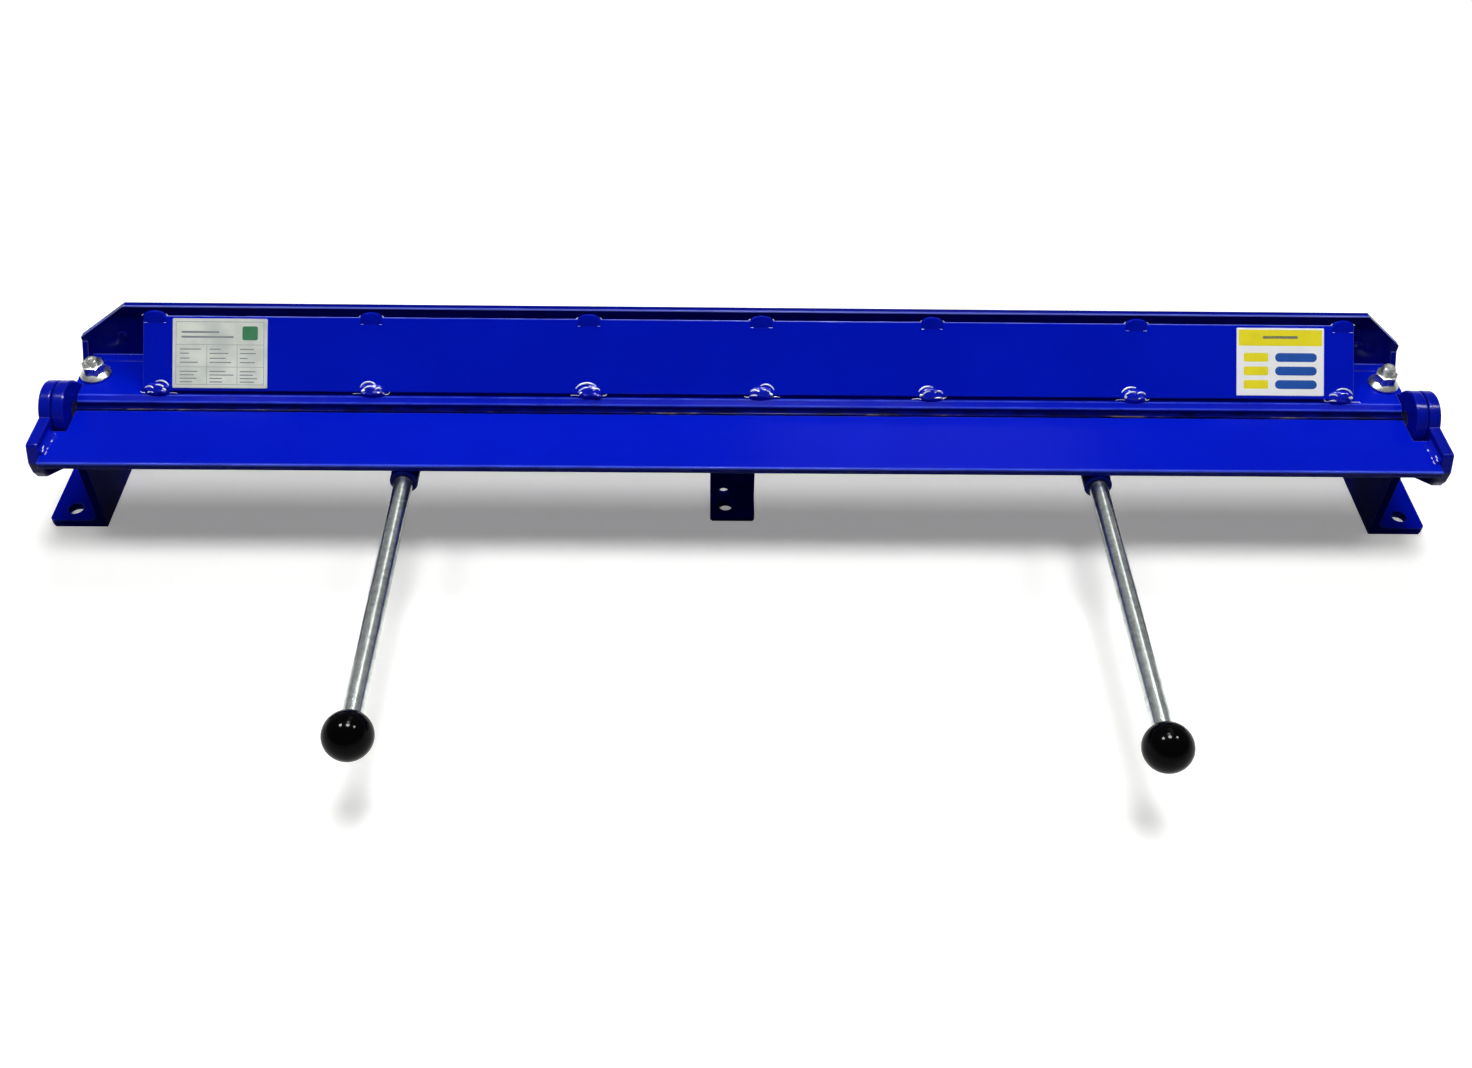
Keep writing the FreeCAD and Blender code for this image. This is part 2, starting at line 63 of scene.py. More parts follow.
# Lamps: place across and behind, size and power. The soft lamps and the long panel don't show
# in glossy faces, and the sparks show only there.
LAMP_HEIGHT = 2.5
LAMP_TARGET = Vector((0.0, -0.03, 0.1))
SOFT_LAMPS = (("key_lamp", 0.12, -0.36, 0.9, 30.0), ("left_lamp", -1.15, -0.36, 0.6, 8.0),
              ("right_lamp", 1.42, -0.36, 0.6, 7.0), ("back_lamp", 0.1, 1.25, 0.9, 31.0))
SPARKS = (("key_spark", 0.12, 0.12, 0.55, 95.0), ("left_spark", -1.15, 0.12, 0.5, 78.0),
          ("right_spark", 1.42, 0.12, 0.36, 42.0), ("back_spark", 0.1, 0.78, 0.45, 16.0))
PANEL_Y = -0.36
PANEL_LENGTH = 5.2
PANEL_DEPTH = 0.7
PANEL_POWER = 13.0

# Surroundings: brightness by the direction's rise, and a window with soft borders
WHITE = (1.0, 1.0, 1.0, 1.0)
HORIZON_LOW = 0.04
HORIZON_HIGH = 0.22
CEILING = 0.24
FILL = 0.06
WINDOW = 1.5
WINDOW_X = 0.14
WINDOW_ASIDE = (0.06, 0.16)
WINDOW_BACK = (0.2, 0.4)
WINDOW_RISE = (0.5, 0.6)

# Floor: its colour, and a glow that is full white further out
FLOOR_RADIUS = 8.0
FLOOR_PALE = (0.965, 0.965, 0.955, 1.0)
FLOOR_BOUNCE = (0.07, 0.07, 0.07, 1.0)
FLOOR_WARM = (1.0, 0.99, 0.955, 1.0)
FLOOR_GLOW = 0.27
FLOOR_NEAR = 0.75
FLOOR_FAR = 1.3

# Finishes, as linear colours
BLUE = (0.0004, 0.0085, 0.50)
BLUE_DEEP = (0.0003, 0.0072, 0.46)
# Painted highlight: a paler blue near rounded edges
BLUE_EDGE_HIGHLIGHT = (0.15, 0.17, 0.72)
# Painted highlight along the upright's and the bar's top edges
BLUE_HIGHLIGHT_LINE = (0.14, 0.17, 0.72)
# Painted shadow on the bed's strip under the clamp's nose
BLUE_GAP_SHADOW = (0.0008, 0.0008, 0.018)
# Painted highlight along the clamp's nose and crest, and along the leaf's edges
BLUE_NOSE_HIGHLIGHT = (0.05, 0.09, 0.78)
# Painted shade on the leaf's front face and on the upright's top face
BLUE_SHADE = (0.0004, 0.0055, 0.24)
# Painted shade on the clamp's upright face, the gussets and the plugs
BLUE_UPRIGHT_SHADE = (0.0003, 0.0028, 0.20)
# Painted shade in the recess between the bar's head and the upright's top
BLUE_RECESS_SHADE = (0.0005, 0.0010, 0.085)
# Painted shade: a darker enamel for the feet, in the machine's shadow
BLUE_FOOT_SHADE = (0.0004, 0.0062, 0.42)
# Painted shade: a darker enamel for the arms and hinge plates
BLUE_SIDE_SHADE = (0.0004, 0.0055, 0.36)
# Painted shade: a darker enamel for the sockets under the leaf's edge
BLUE_SOCKET_SHADE = (0.0003, 0.004, 0.14)
# Painted glints on the crests of the weld metal
RIDGE_GLINT = (0.86, 0.88, 1.0)
WORN_STEEL = (0.16, 0.125, 0.09)
GRIME = (0.012, 0.010, 0.012)
ZINC = (0.54, 0.57, 0.54)
ZINC_BRIGHT = (0.62, 0.64, 0.60)
ROD_ZINC = (0.62, 0.66, 0.645)
ROD_DULL = (0.42, 0.47, 0.455)
ROD_BRIGHT = (0.80, 0.82, 0.81)
STEEL = (0.34, 0.33, 0.32)
STEEL_DARK = (0.16, 0.15, 0.14)
BALL_BLACK = (0.0006, 0.0006, 0.0008)
FOIL = (0.77, 0.80, 0.71)
FOIL_DULL = (0.54, 0.58, 0.53)
FILM = (0.93, 0.93, 0.92)
INK_YELLOW = (0.90, 0.78, 0.012)
INK_BLUE = (0.008, 0.085, 0.42)
INK_GREY = (0.20, 0.22, 0.23)
INK_GREEN = (0.02, 0.16, 0.06)

# The nodes' finishes: all others are plain blue. Gussets, arms, hinge plates and feet take darker
# copies of the enamel as painted shade
NODE_FINISHES = {"rod": "zinc_rod", "clamp_nut": "zinc", "clamp_bolt": "zinc", "pin_washer": "zinc",
                 "hinge_pin": "steel", "retaining_ring": "steel", "knob": "black",
                 "rating_plate": "foil", "label": "film", "leaf_angle": "leaf", "bed_angle": "bed",
                 "clamp_angle": "clamp", "stiffener_plate": "bar", "arm": "side",
                 "hinge_plate": "side", "gusset": "painted_shade", "foot": "foot", "middle_foot": "foot"}


def toned(colour, share):
    return tuple(part * share for part in colour)


def feed(tree, node, inputs):
    """Set or link a node's inputs, by name or number: each gets a value or a socket."""
    for key, value in inputs.items():
        if isinstance(value, bpy.types.NodeSocket):
            tree.links.new(value, node.inputs[key])
        else:
            node.inputs[key].default_value = value


def add(tree, kind, inputs):
    node = tree.nodes.new("ShaderNode" + kind)
    feed(tree, node, inputs)
    return node


def fresh(name):
    """New material with its tree, its shader and the piece's own coordinates."""
    material = bpy.data.materials.new(name)
    material.use_nodes = True
    tree = material.node_tree
    where = add(tree, "TexCoord", {}).outputs["Object"]
    return material, tree, tree.nodes["Principled BSDF"], where


def axes(tree, vector):
    return add(tree, "SeparateXYZ", {0: vector}).outputs


def stretched(tree, where, factors):
    node = add(tree, "VectorMath", {0: where, 1: factors})
    node.operation = "MULTIPLY"
    return node.outputs[0]


def cloud(tree, where, scale, detail=3.0, roughness=0.55):
    """Noise: the scale is its number of patches along a metre."""
    return add(tree, "TexNoise", {"Vector": where, "Scale": scale, "Detail": detail,
                                  "Roughness": roughness}).outputs["Fac"]


def spangle(tree, where, scale):
    """Cells of zinc, each with a tone of its own."""
    cells = add(tree, "TexVoronoi", {"Vector": where, "Scale": scale})
    return add(tree, "SeparateColor", {0: cells.outputs["Color"]}).outputs[0]


def spread(tree, value, low, high, to_low=0.0, to_high=1.0):
    """Value between two limits, spread smoothly over two others."""
    node = add(tree, "MapRange", {"Value": value, "From Min": low, "From Max": high,
                                  "To Min": to_low, "To Max": to_high})
    node.interpolation_type = "SMOOTHSTEP"
    return node.outputs[0]


def calc(tree, operation, first, second=0.0):
    node = add(tree, "Math", {0: first, 1: second})
    node.operation = operation
    return node.outputs[0]


def apart(tree, first, second):
    return calc(tree, "ABSOLUTE", calc(tree, "SUBTRACT", first, second))


def blended(tree, share, first, second):
    """Colour between two others: each is a plain colour or a socket."""
    first, second = (colour + (1.0,) if isinstance(colour, tuple) else colour
                     for colour in (first, second))
    node = tree.nodes.new("ShaderNodeMix")
    node.data_type = "RGBA"
    feed(tree, node, {0: share, 6: first, 7: second})
    return node.outputs[2]


def coated(tree, shader, colour, rough, gloss=0.5, metallic=0.0):
    feed(tree, shader, {"Base Color": colour, "Roughness": rough, "Specular IOR Level": gloss,
                        "Metallic": metallic})


def raised(tree, shader, layers, normal=None):
    """Bump from layers of height, each with its depth in metres."""
    for height, depth in layers:
        node = add(tree, "Bump", {"Distance": depth, "Height": height})
        if normal:
            feed(tree, node, {"Normal": normal})
        normal = node.outputs["Normal"]
    feed(tree, shader, {"Normal": normal})


def eased(tree, radius):
    """Shading direction with softened edges, and how near a point is to such an edge."""
    flat_cosine = 0.995
    edge_cosine = 0.87
    bevel = add(tree, "Bevel", {"Radius": radius})
    bevel.samples = 5
    flat = add(tree, "NewGeometry", {}).outputs["Normal"]
    turn = add(tree, "VectorMath", {0: bevel.outputs[0], 1: flat})
    turn.operation = "DOT_PRODUCT"
    near = spread(tree, turn.outputs["Value"], flat_cosine, edge_cosine)
    return bevel.outputs[0], near


def line_share(tree, where, line, half_width):
    """How near a point is to a line along the bend, given by its Y and Z."""
    place = axes(tree, where)
    squares = [calc(tree, "POWER", calc(tree, "SUBTRACT", place[axis], at), 2.0)
               for axis, at in zip((1, 2), line)]
    distance = calc(tree, "SQRT", calc(tree, "ADD", *squares))
    return spread(tree, distance, half_width, half_width / 3)


def face_share(tree, where, y):
    """1 on an upright face at the given Y, the face that gets painted shade."""
    return spread(tree, apart(tree, axes(tree, where)[1], y), 0.3 * MM, 0.9 * MM, 1.0, 0.0)


def shaded(tree, where, colour, lines):
    """Colour with darker lines along the bend: each has its place, half width and shade."""
    for line, half_width, shade in lines:
        patches = cloud(tree, stretched(tree, where, (1.0, 4.0, 4.0)), 60.0, 4.0)
        uneven = spread(tree, patches, 0.3, 0.6, 1.0, 0.8)
        share = calc(tree, "MULTIPLY", line_share(tree, where, line, half_width), uneven)
        colour = blended(tree, share, colour, shade)
    return colour


def painted_highlight_lines(tree, where, colour, lines):
    """Colour with painted highlights along the bend: each line has its place, half width, shade,
    and the least and most that shows of it."""
    for line, half_width, shade, low, high in lines:
        patches = cloud(tree, stretched(tree, where, (1.0, 0.0, 0.0)), 30.0, 5.0, 0.6)
        uneven = spread(tree, patches, 0.36, 0.6, low, high)
        share = calc(tree, "MULTIPLY", line_share(tree, where, line, half_width), uneven)
        colour = blended(tree, share, colour, shade)
    return colour


def worn_share(tree, where, line):
    """Patches along a line where the enamel is worn through."""
    patches = cloud(tree, stretched(tree, where, (1.0, 6.0, 6.0)), 22.0, 5.0, 0.65)
    return calc(tree, "MULTIPLY", line_share(tree, where, line, 0.8 * MM),
                spread(tree, patches, 0.54, 0.62))


def paint(name, base=BLUE, deep=BLUE_DEEP, worn_line=None, highlight_lines=(), dark_lines=(),
          dark_face=None, edge=0.9 * MM, gloss=0.035):
    """Glossy blue enamel: slight orange peel, worn along the bend line, with painted highlights
    near the edges and along lines, and painted shade along other lines and on a face. A line is
    given by its Y and Z, and a face by its Y."""
    material, tree, shader, where = fresh(name)
    mottle = spread(tree, cloud(tree, where, 11.0), 0.3, 0.7)
    colour = blended(tree, mottle, deep, base)
    # Painted shade over the clamp's upright face
    if dark_face:
        colour = blended(tree, face_share(tree, where, dark_face), colour, BLUE_UPRIGHT_SHADE)
    # Painted shade along the given lines
    colour = shaded(tree, where, colour, dark_lines)
    rounded, rim = eased(tree, edge)
    # Painted highlight: a paler blue near the rounded edges, where they would catch light
    edge_highlight = calc(tree, "MULTIPLY", rim, spread(tree, cloud(tree, where, 40.0), 0.35, 0.65, 0.2, 0.6))
    colour = blended(tree, edge_highlight, colour, BLUE_EDGE_HIGHLIGHT)
    # Painted highlights along the given lines
    colour = painted_highlight_lines(tree, where, colour, highlight_lines)
    chips = calc(tree, "MULTIPLY", rim, spread(tree, cloud(tree, where, 90.0, 5.0), 0.76, 0.80))
    colour = blended(tree, chips, colour, GRIME)
    rough = spread(tree, cloud(tree, where, 35.0), 0.3, 0.7, 0.10, 0.14)
    if worn_line:
        worn = worn_share(tree, where, worn_line)
        colour = blended(tree, worn, colour, WORN_STEEL)
        rough = calc(tree, "MAXIMUM", rough, calc(tree, "MULTIPLY", worn, 0.5))
    coated(tree, shader, colour, rough, gloss)
    fine = cloud(tree, where, 420.0, 2.0)
    broad = cloud(tree, where, 60.0, 2.0)
    raised(tree, shader, ((fine, 0.008 * MM), (broad, 0.05 * MM)), rounded)
    return material


def weld_paint(name):
    """Thick wet-looking blue enamel over weld metal, with small pits."""
    material, tree, shader, where = fresh(name)
    pits = cloud(tree, where, 300.0, 4.0)
    tone = blended(tree, spread(tree, cloud(tree, where, 70.0), 0.35, 0.65), BLUE_DEEP, BLUE)
    tone = blended(tree, spread(tree, pits, 0.72, 0.78), tone, GRIME)
    coated(tree, shader, tone, spread(tree, pits, 0.3, 0.7, 0.08, 0.16), 0.2)
    raised(tree, shader, ((pits, 0.01 * MM), (cloud(tree, where, 90.0, 2.0), 0.05 * MM)))
    return material


def glint_paint(name):
    """Painted glints: pale, shiny enamel on the crests of the weld metal, standing for their
    highlights.
    """
    material, tree, shader, where = fresh(name)
    fine = cloud(tree, where, 500.0, 3.0)
    tone = blended(tree, spread(tree, fine, 0.4, 0.8), RIDGE_GLINT, toned(RIDGE_GLINT, 0.75))
    coated(tree, shader, tone, spread(tree, fine, 0.3, 0.7, 0.12, 0.25), 0.8)
    raised(tree, shader, ((fine, 0.01 * MM),))
    return material


def metal(name, colours, roughness, grain, grain_scale, depth):
    """Plated or bare steel, with mottled patches and fine scratches along its grain."""
    material, tree, shader, where = fresh(name)
    patches = cloud(tree, where, 120.0, 5.0, 0.65)
    lines = cloud(tree, stretched(tree, where, grain), grain_scale, 3.0)
    cells = spangle(tree, where, 420.0)
    colour = blended(tree, spread(tree, patches, 0.36, 0.64), colours[0], colours[1])
    colour = blended(tree, spread(tree, cells, 0.2, 0.9, 0.0, 0.3), colour, colours[2])
    rough = calc(tree, "ADD", spread(tree, patches, 0.3, 0.7, roughness * 0.85, roughness * 1.15),
                 spread(tree, lines, 0.3, 0.7, 0.0, 0.05))
    coated(tree, shader, colour, rough, metallic=1.0)
    raised(tree, shader, ((lines, depth), (patches, depth)))
    return material


def phenolic(name):
    """Polished black plastic with a faint haze and hairline marks."""
    material, tree, shader, where = fresh(name)
    haze = cloud(tree, where, 70.0, 4.0)
    marks = cloud(tree, stretched(tree, where, (1.0, 9.0, 2.0)), 260.0, 2.0)
    colour = blended(tree, spread(tree, haze, 0.3, 0.8), BALL_BLACK, toned(BALL_BLACK, 2.2))
    coated(tree, shader, colour, spread(tree, haze, 0.3, 0.7, 0.07, 0.11), 0.05)
    raised(tree, shader, ((marks, 0.001 * MM), (haze, 0.01 * MM)))
    return material


def printed(name, colour, dull, roughness, grain=(1.0, 1.0, 1.0)):
    """Printed foil, film or ink: slight fade, fine grain and a satin face."""
    material, tree, shader, where = fresh(name)
    fade = cloud(tree, where, 45.0, 4.0)
    fine = cloud(tree, stretched(tree, where, grain), 900.0, 2.0)
    tone = blended(tree, spread(tree, fade, 0.3, 0.75), colour, dull)
    rough = spread(tree, fine, 0.3, 0.7, roughness * 0.85, roughness * 1.15)
    coated(tree, shader, tone, rough, 0.35)
    raised(tree, shader, ((fine, 0.004 * MM), (fade, 0.03 * MM)))
    return material


def mesh_of(bm, name):
    mesh = bpy.data.meshes.new(name)
    bm.to_mesh(mesh)
    bm.free()
    return mesh


def placed(name, data):
    """New object in the scene."""
    obj = bpy.data.objects.new(name, data)
    bpy.context.scene.collection.objects.link(obj)
    return obj


def to_piece(bm, name, body, materials, replaced=(), sharp=35.0):
    """Turn a built mesh into a shown piece that rides on a body of the frame."""
    bmesh.ops.recalc_face_normals(bm, faces=bm.faces)
    mesh = mesh_of(bm, name)
    mesh.shade_smooth()
    mesh.set_sharp_from_angle(angle=math.radians(sharp))
    for material in materials:
        mesh.materials.append(material)
    obj = placed(name, mesh)
    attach(obj, body)
    if replaced:
        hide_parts(*replaced)


def rings(bm, rows, closed=False):
    """Join rows of points, each a closed loop of as many points, into a skin."""
    made = [[bm.verts.new(point) for point in row] for row in rows]
    pairs = list(zip(made, made[1:]))
    if closed:
        pairs.append((made[-1], made[0]))
    count = len(made[0])
    for low, high in pairs:
        for i in range(count):
            j = (i + 1) % count
            bm.faces.new((low[i], low[j], high[j], high[i]))
    if not closed:
        bm.faces.new(made[0])
        bm.faces.new(made[-1])


def around(steps):
    return [2 * math.pi * i / steps for i in range(steps)]


def turned(bm, profile, base, axis, segments=64, closed=False):
    """Skin turned about an axis through a base point: a profile of (along, radius)."""
    axis = Vector(axis).normalized()
    side = axis.orthogonal().normalized()
    other = axis.cross(side)
    rows = []
    for along, radius in profile:
        rows.append([base + axis * along + (side * math.cos(turn) + other * math.sin(turn)) * radius
                     for turn in around(segments)])
    rings(bm, rows, closed)


def bar_edges():
    """Lowest and rearmost edge of the sloping bar, both on its back face, at mid length."""
    points = [vertex.co for vertex in NODES["stiffener_plate"].data.vertices]
    foot = min(points, key=lambda p: p.z).copy()
    head = max(points, key=lambda p: p.y).copy()
    foot.x = 0.0
    head.x = 0.0
    return foot, head


# The sloping bar's own directions: along its width, and out of its front face
BAR_FOOT, BAR_HEAD = bar_edges()
BAR_ALONG = (BAR_HEAD - BAR_FOOT).normalized()
BAR_OUT = Vector((0.0, -BAR_ALONG.z, BAR_ALONG.y))
BAR_WIDTH = (BAR_HEAD - BAR_FOOT).length
BAR_TILT = Matrix((Vector((1, 0, 0)), BAR_ALONG, BAR_OUT)).transposed()
UPRIGHT = Matrix.Identity(3)


def on_bar(x, along, out):
    """Point by its place on the sloping bar, measured from the back face's lowest edge."""
    return Vector((x, 0.0, 0.0)) + BAR_FOOT + BAR_ALONG * along + BAR_OUT * out


def loose_solids(node):
    """Points of each loose solid of a node, with the solid's lowest and highest corner."""
    bm = bmesh.new()
    bm.from_mesh(NODES[node].data)
    bmesh.ops.remove_doubles(bm, verts=bm.verts, dist=0.001 * MM)
    left = set(bm.verts)
    solids = []
    for first in list(bm.verts):
        if first not in left:
            continue
        left.discard(first)
        stack = [first]
        points = []
        while stack:
            vertex = stack.pop()
            points.append(vertex.co.copy())
            for edge in vertex.link_edges:
                near = edge.other_vert(vertex)
                if near in left:
                    left.discard(near)
                    stack.append(near)
        solids.append((Vector(map(min, zip(*points))), Vector(map(max, zip(*points))), points))
    bm.free()
    return solids


def fused(drops, voxel, smooth=3):
    """One skin around overlapping drops of weld metal: each is (centre, radii, directions)."""
    bm = bmesh.new()
    for centre, radii, turn in drops:
        place = Matrix.Translation(centre) @ turn.to_4x4() @ Matrix.Diagonal((*radii, 1.0))
        bmesh.ops.create_icosphere(bm, subdivisions=3, radius=1.0, matrix=place)
    rough = mesh_of(bm, "drops")
    holder = placed("drops", rough)
    skin = holder.modifiers.new("skin", "REMESH")
    skin.mode = "VOXEL"
    skin.voxel_size = voxel
    ease = holder.modifiers.new("ease", "SMOOTH")
    ease.iterations = smooth
    bpy.context.view_layer.update()
    done = bpy.data.meshes.new_from_object(
        holder.evaluated_get(bpy.context.evaluated_depsgraph_get()))
    bpy.data.objects.remove(holder)
    bpy.data.meshes.remove(rough)
    bm = bmesh.new()
    bm.from_mesh(done)
    bpy.data.meshes.remove(done)
    return bm


def lumpy(bm, grain, depth):
    """Uneven skin: every point moves along its normal."""
    bm.normal_update()
    moves = [vertex.normal * depth * noise.noise(vertex.co / grain) for vertex in bm.verts]
    for vertex, move in zip(bm.verts, moves):
        vertex.co += move


def stroke(bm, points, radius, out=BAR_OUT):
    """Slender tube with tapered ends along a line of points: the shape of every painted glint."""
    sides = 8
    rows = []
    count = len(points)
    for i, point in enumerate(points):
        ahead = (points[min(i + 1, count - 1)] - points[max(i - 1, 0)]).normalized()
        side = ahead.cross(out).normalized()
        up = side.cross(ahead)
        size = radius * (0.3 + 0.7 * math.sin(math.pi * (i + 0.5) / count))
        rows.append([point + (side * math.cos(turn) + up * math.sin(turn)) * size
                     for turn in around(sides)])
    rings(bm, rows)


# A lower stitch is a mound on the bar's foot: its middle, and its reach along and out of the bar
STITCH_MIDDLE = 1.9 * MM
STITCH_SUNK = 2.6 * MM
STITCH_REACH = 5.5 * MM
STITCH_PROUD = 3.6 * MM
STITCH_TOE = -1.6 * MM
FLANGE_LEVEL = 3.9 * MM

# Curled painted glints on it, pale strokes that stand for highlights: centre, reach, angles and
# thickness of each, in millimetres and degrees
CURLS = (((2.2, 1.2), (7.2, 6.0), (125, 22), 0.72), ((1.2, -0.6), (6.6, 4.4), (98, 14), 0.50),
         ((-4.4, 1.2), (3.0, 2.0), (150, 20), 0.62), ((-4.6, -1.8), (3.6, 1.2), (150, 40), 0.55),
         ((5.2, 0.2), (1.8, 1.0), (80, -20), 0.95), ((-9.0, 0.2), (2.6, 1.8), (200, 290), 0.30),
         ((10.0, -2.0), (4.4, 0.9), (140, 30), 0.22))


def stitch_drops(x, half, dice):
    """A lower stitch's mound, its toe on the flange, and small lumps on it."""
    lumps = 7
    drops = [(on_bar(x, STITCH_MIDDLE, STITCH_SUNK), (half, STITCH_REACH, STITCH_PROUD), BAR_TILT),
             (on_bar(x, STITCH_TOE, 2.4 * MM), (half * 0.9, 2.2 * MM, 1.8 * MM), BAR_TILT)]
    for _ in range(lumps):
        size = dice.uniform(1.0, 1.7) * MM
        drops.append((on_bar(x + dice.uniform(-0.7, 0.7) * half, dice.uniform(-1.5, 4.5) * MM,
                             dice.uniform(4.6, 5.2) * MM), (size * 1.5, size, size), BAR_TILT))
    return drops


def stitch_curl(bm, curl, x, half, lean, dice):
    """One curled painted glint that lies on a lower stitch's mound."""
    steps = 11
    lift = 0.12 * MM
    (u0, v0), (ru, rv), (first, last), thick = curl
    u0 += dice.uniform(-0.9, 0.9)
    v0 += dice.uniform(-0.5, 0.5)
    ru *= dice.uniform(0.8, 1.15)
    first += dice.uniform(-18, 18)
    line = []
    for i in range(steps + 1):
        turn = math.radians(first + (last - first) * i / steps)
        u = (u0 + ru * math.cos(turn)) * MM
        v = (v0 + rv * math.sin(turn)) * MM
        dome = max(0.0, 1.0 - (u / half) ** 2 - ((v - STITCH_MIDDLE) / STITCH_REACH) ** 2)
        base = WALL if v > 0 else FLANGE_LEVEL
        top = max(base, STITCH_SUNK + STITCH_PROUD * math.sqrt(dome))
        line.append(on_bar(x + lean * u, v, top + lift))
    stroke(bm, line, thick * dice.uniform(0.8, 1.1) * MM)


def stitch_spatter(x, half, dice):
    """Places and radii of tiny beads of weld metal that landed beside a lower stitch."""
    beads = 4
    spots = []
    for _ in range(beads):
        aside = dice.choice((-1, 1)) * (half + dice.uniform(0.6, 3.4) * MM)
        spots.append((on_bar(x + aside, dice.uniform(0.5, 4.0) * MM, WALL),
                      dice.uniform(0.3, 0.5) * MM))
    return spots


def lower_stitches(finish, shine):
    """Seven short runs between the sloping bar's foot and the clamp's flange."""
    dice = random.Random(11)
    drops = []
    spots = []
    glint_strokes = bmesh.new()
    for low, high, _ in loose_solids("lower_stitch_welds"):
        x = (low.x + high.x) / 2
        half = (high.x - low.x) / 2 + 0.5 * MM
        drops += stitch_drops(x, half, dice)
        lean = dice.choice((-1, 1))
        for curl in CURLS:
            stitch_curl(glint_strokes, curl, x, half, lean, dice)
        spots += stitch_spatter(x, half, dice)
    bm = fused(drops, 0.36 * MM, 5)
    lumpy(bm, 3.0 * MM, 0.35 * MM)
    for centre, radius in spots:
        bmesh.ops.create_icosphere(bm, subdivisions=2, radius=radius,
                                   matrix=Matrix.Translation(centre))
    to_piece(bm, "lower_stitch_beads", "clamp", [finish], ["lower_stitch_welds"], 80)
    to_piece(glint_strokes, "lower_stitch_painted_glints", "clamp", [shine], sharp=60)


# Rim of an upper stitch: its height over the slope and its inset, in millimetres
PAD_RIM = ((-2.4, 0.0), (0.0, 0.0), (0.35, 0.15), (0.6, 0.55), (0.7, 1.3))


def stitch_pad(bm, foot, crest, half):
    """Flat pad with a round top and softened rim. Returns its slope and the way out of it."""
    steps = 14
    foot_level = 0.06 * MM
    shoulder = 0.42
    length = (crest - foot).length
    slope = (crest - foot).normalized()
    out = Vector((0.0, -slope.z, slope.y))
    rows = []
    for level, inset in PAD_RIM:
        level *= MM
        inset *= MM
        row = []
        for i in range(steps + 1):
            turn = math.pi * i / steps
            across = (half - inset) * math.cos(turn)
            rise = (length - inset) * (shoulder + (1 - shoulder) * math.sin(turn) ** 0.75)
            row.append(foot + Vector((across, 0, 0)) + slope * rise + out * level)
        for share in (-1.0, -0.5, 0.0, 0.5, 1.0):
            row.append(foot + Vector(((half - inset) * share, 0, 0)) + slope * inset * 0.8
                       + out * min(level, foot_level))
        rows.append(row)
    rings(bm, rows)
    return slope, out


def pad_glints(bm, foot, slope, out, half, dice):
    """Painted glints at a pad's ends: one inward along its foot, one outward on the bar's edge."""
    for side in (-1, 1):
        start = foot + slope * 0.2 * MM + out * 0.08 * MM
        run = dice.uniform(1.6, 3.0) * MM
        inward = [start + Vector((side * (half - run * i / 5), 0, 0)) for i in range(6)]
        stroke(bm, inward, 0.10 * MM, out)
        outward = [on_bar(foot.x + side * (half + (dice.uniform(-0.2, 0.2) + 0.4 * i) * MM),
                          BAR_WIDTH + (0.9 - 0.35 * i) * MM, WALL + 0.1 * MM) for i in range(4)]
        stroke(bm, outward, 0.22 * MM)


def upper_stitches(finish, shine):
    """Seven flat pads with round tops, from the sloping bar's head to the upright leg."""
    dice = random.Random(5)
    bm = bmesh.new()
    glint_strokes = bmesh.new()
    leg_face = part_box("clamp_angle")[1].y - WALL
    for low, high, _ in loose_solids("upper_stitch_welds"):
        x = (low.x + high.x) / 2
        half = (high.x - low.x) / 2 * dice.uniform(0.94, 1.0)
        foot = on_bar(x, BAR_WIDTH - 5.2 * MM, WALL)
        crest = Vector((x, leg_face - 2.6 * MM, high.z + 0.2 * MM))
        slope, out = stitch_pad(bm, foot, crest, half)
        pad_glints(glint_strokes, foot, slope, out, half, dice)
    lumpy(bm, 4.0 * MM, 0.1 * MM)
    to_piece(bm, "upper_stitch_beads", "clamp", [finish], ["upper_stitch_welds"], 40)
    to_piece(glint_strokes, "upper_stitch_painted_glints", "clamp", [shine], sharp=60)


def cross_root(points, axis):
    """Inner corner of a weld's three-sided cross-section, and its two legs from there."""
    first, second = (i for i in range(3) if i != axis)
    marks = {(round(point[first] / MM, 2), round(point[second] / MM, 2)) for point in points}
    ends = [(min(mark[i] for mark in marks), max(mark[i] for mark in marks)) for i in range(2)]
    corners = [(a, b) for a in ends[0] for b in ends[1]]

    def missing(corner):
        return min(abs(corner[0] - mark[0]) + abs(corner[1] - mark[1]) for mark in marks)

    far = max(corners, key=missing)
    root = (sum(ends[0]) - far[0], sum(ends[1]) - far[1])
    start = Vector()
    start[first] = root[0] * MM
    start[second] = root[1] * MM
    legs = (Vector(), Vector())
    legs[0][first] = (far[0] - root[0]) * MM
    legs[1][second] = (far[1] - root[1]) * MM
    return start, legs


def hollow_face(at, legs, axis, taper, ripple, shift):
    """Points across a slightly hollow, finely rippled fillet, from one leg's end to the other's."""
    steps = 8
    hollow = 0.45
    pitch = 0.34 * MM
    grain = 1.5 * MM
    bend = 4 * MM
    outward = (legs[0] + legs[1]).normalized()
    points = []
    for j in range(steps + 1):
        turn = math.pi / 2 * j / steps
        straight = legs[0] * (1 - j / steps) + legs[1] * (j / steps)
        curved = legs[0] * (1 - math.sin(turn)) + legs[1] * (1 - math.cos(turn))
        point = straight.lerp(curved, hollow) * taper
        sway = 3 * noise.noise((at + shift) / bend)
        wave = noise.noise((at + shift + point) / grain)
        wave += 0.6 * math.sin(at[axis] / pitch + sway)
        points.append(at + point + outward * ripple * wave * math.sin(turn * 2))
    return points


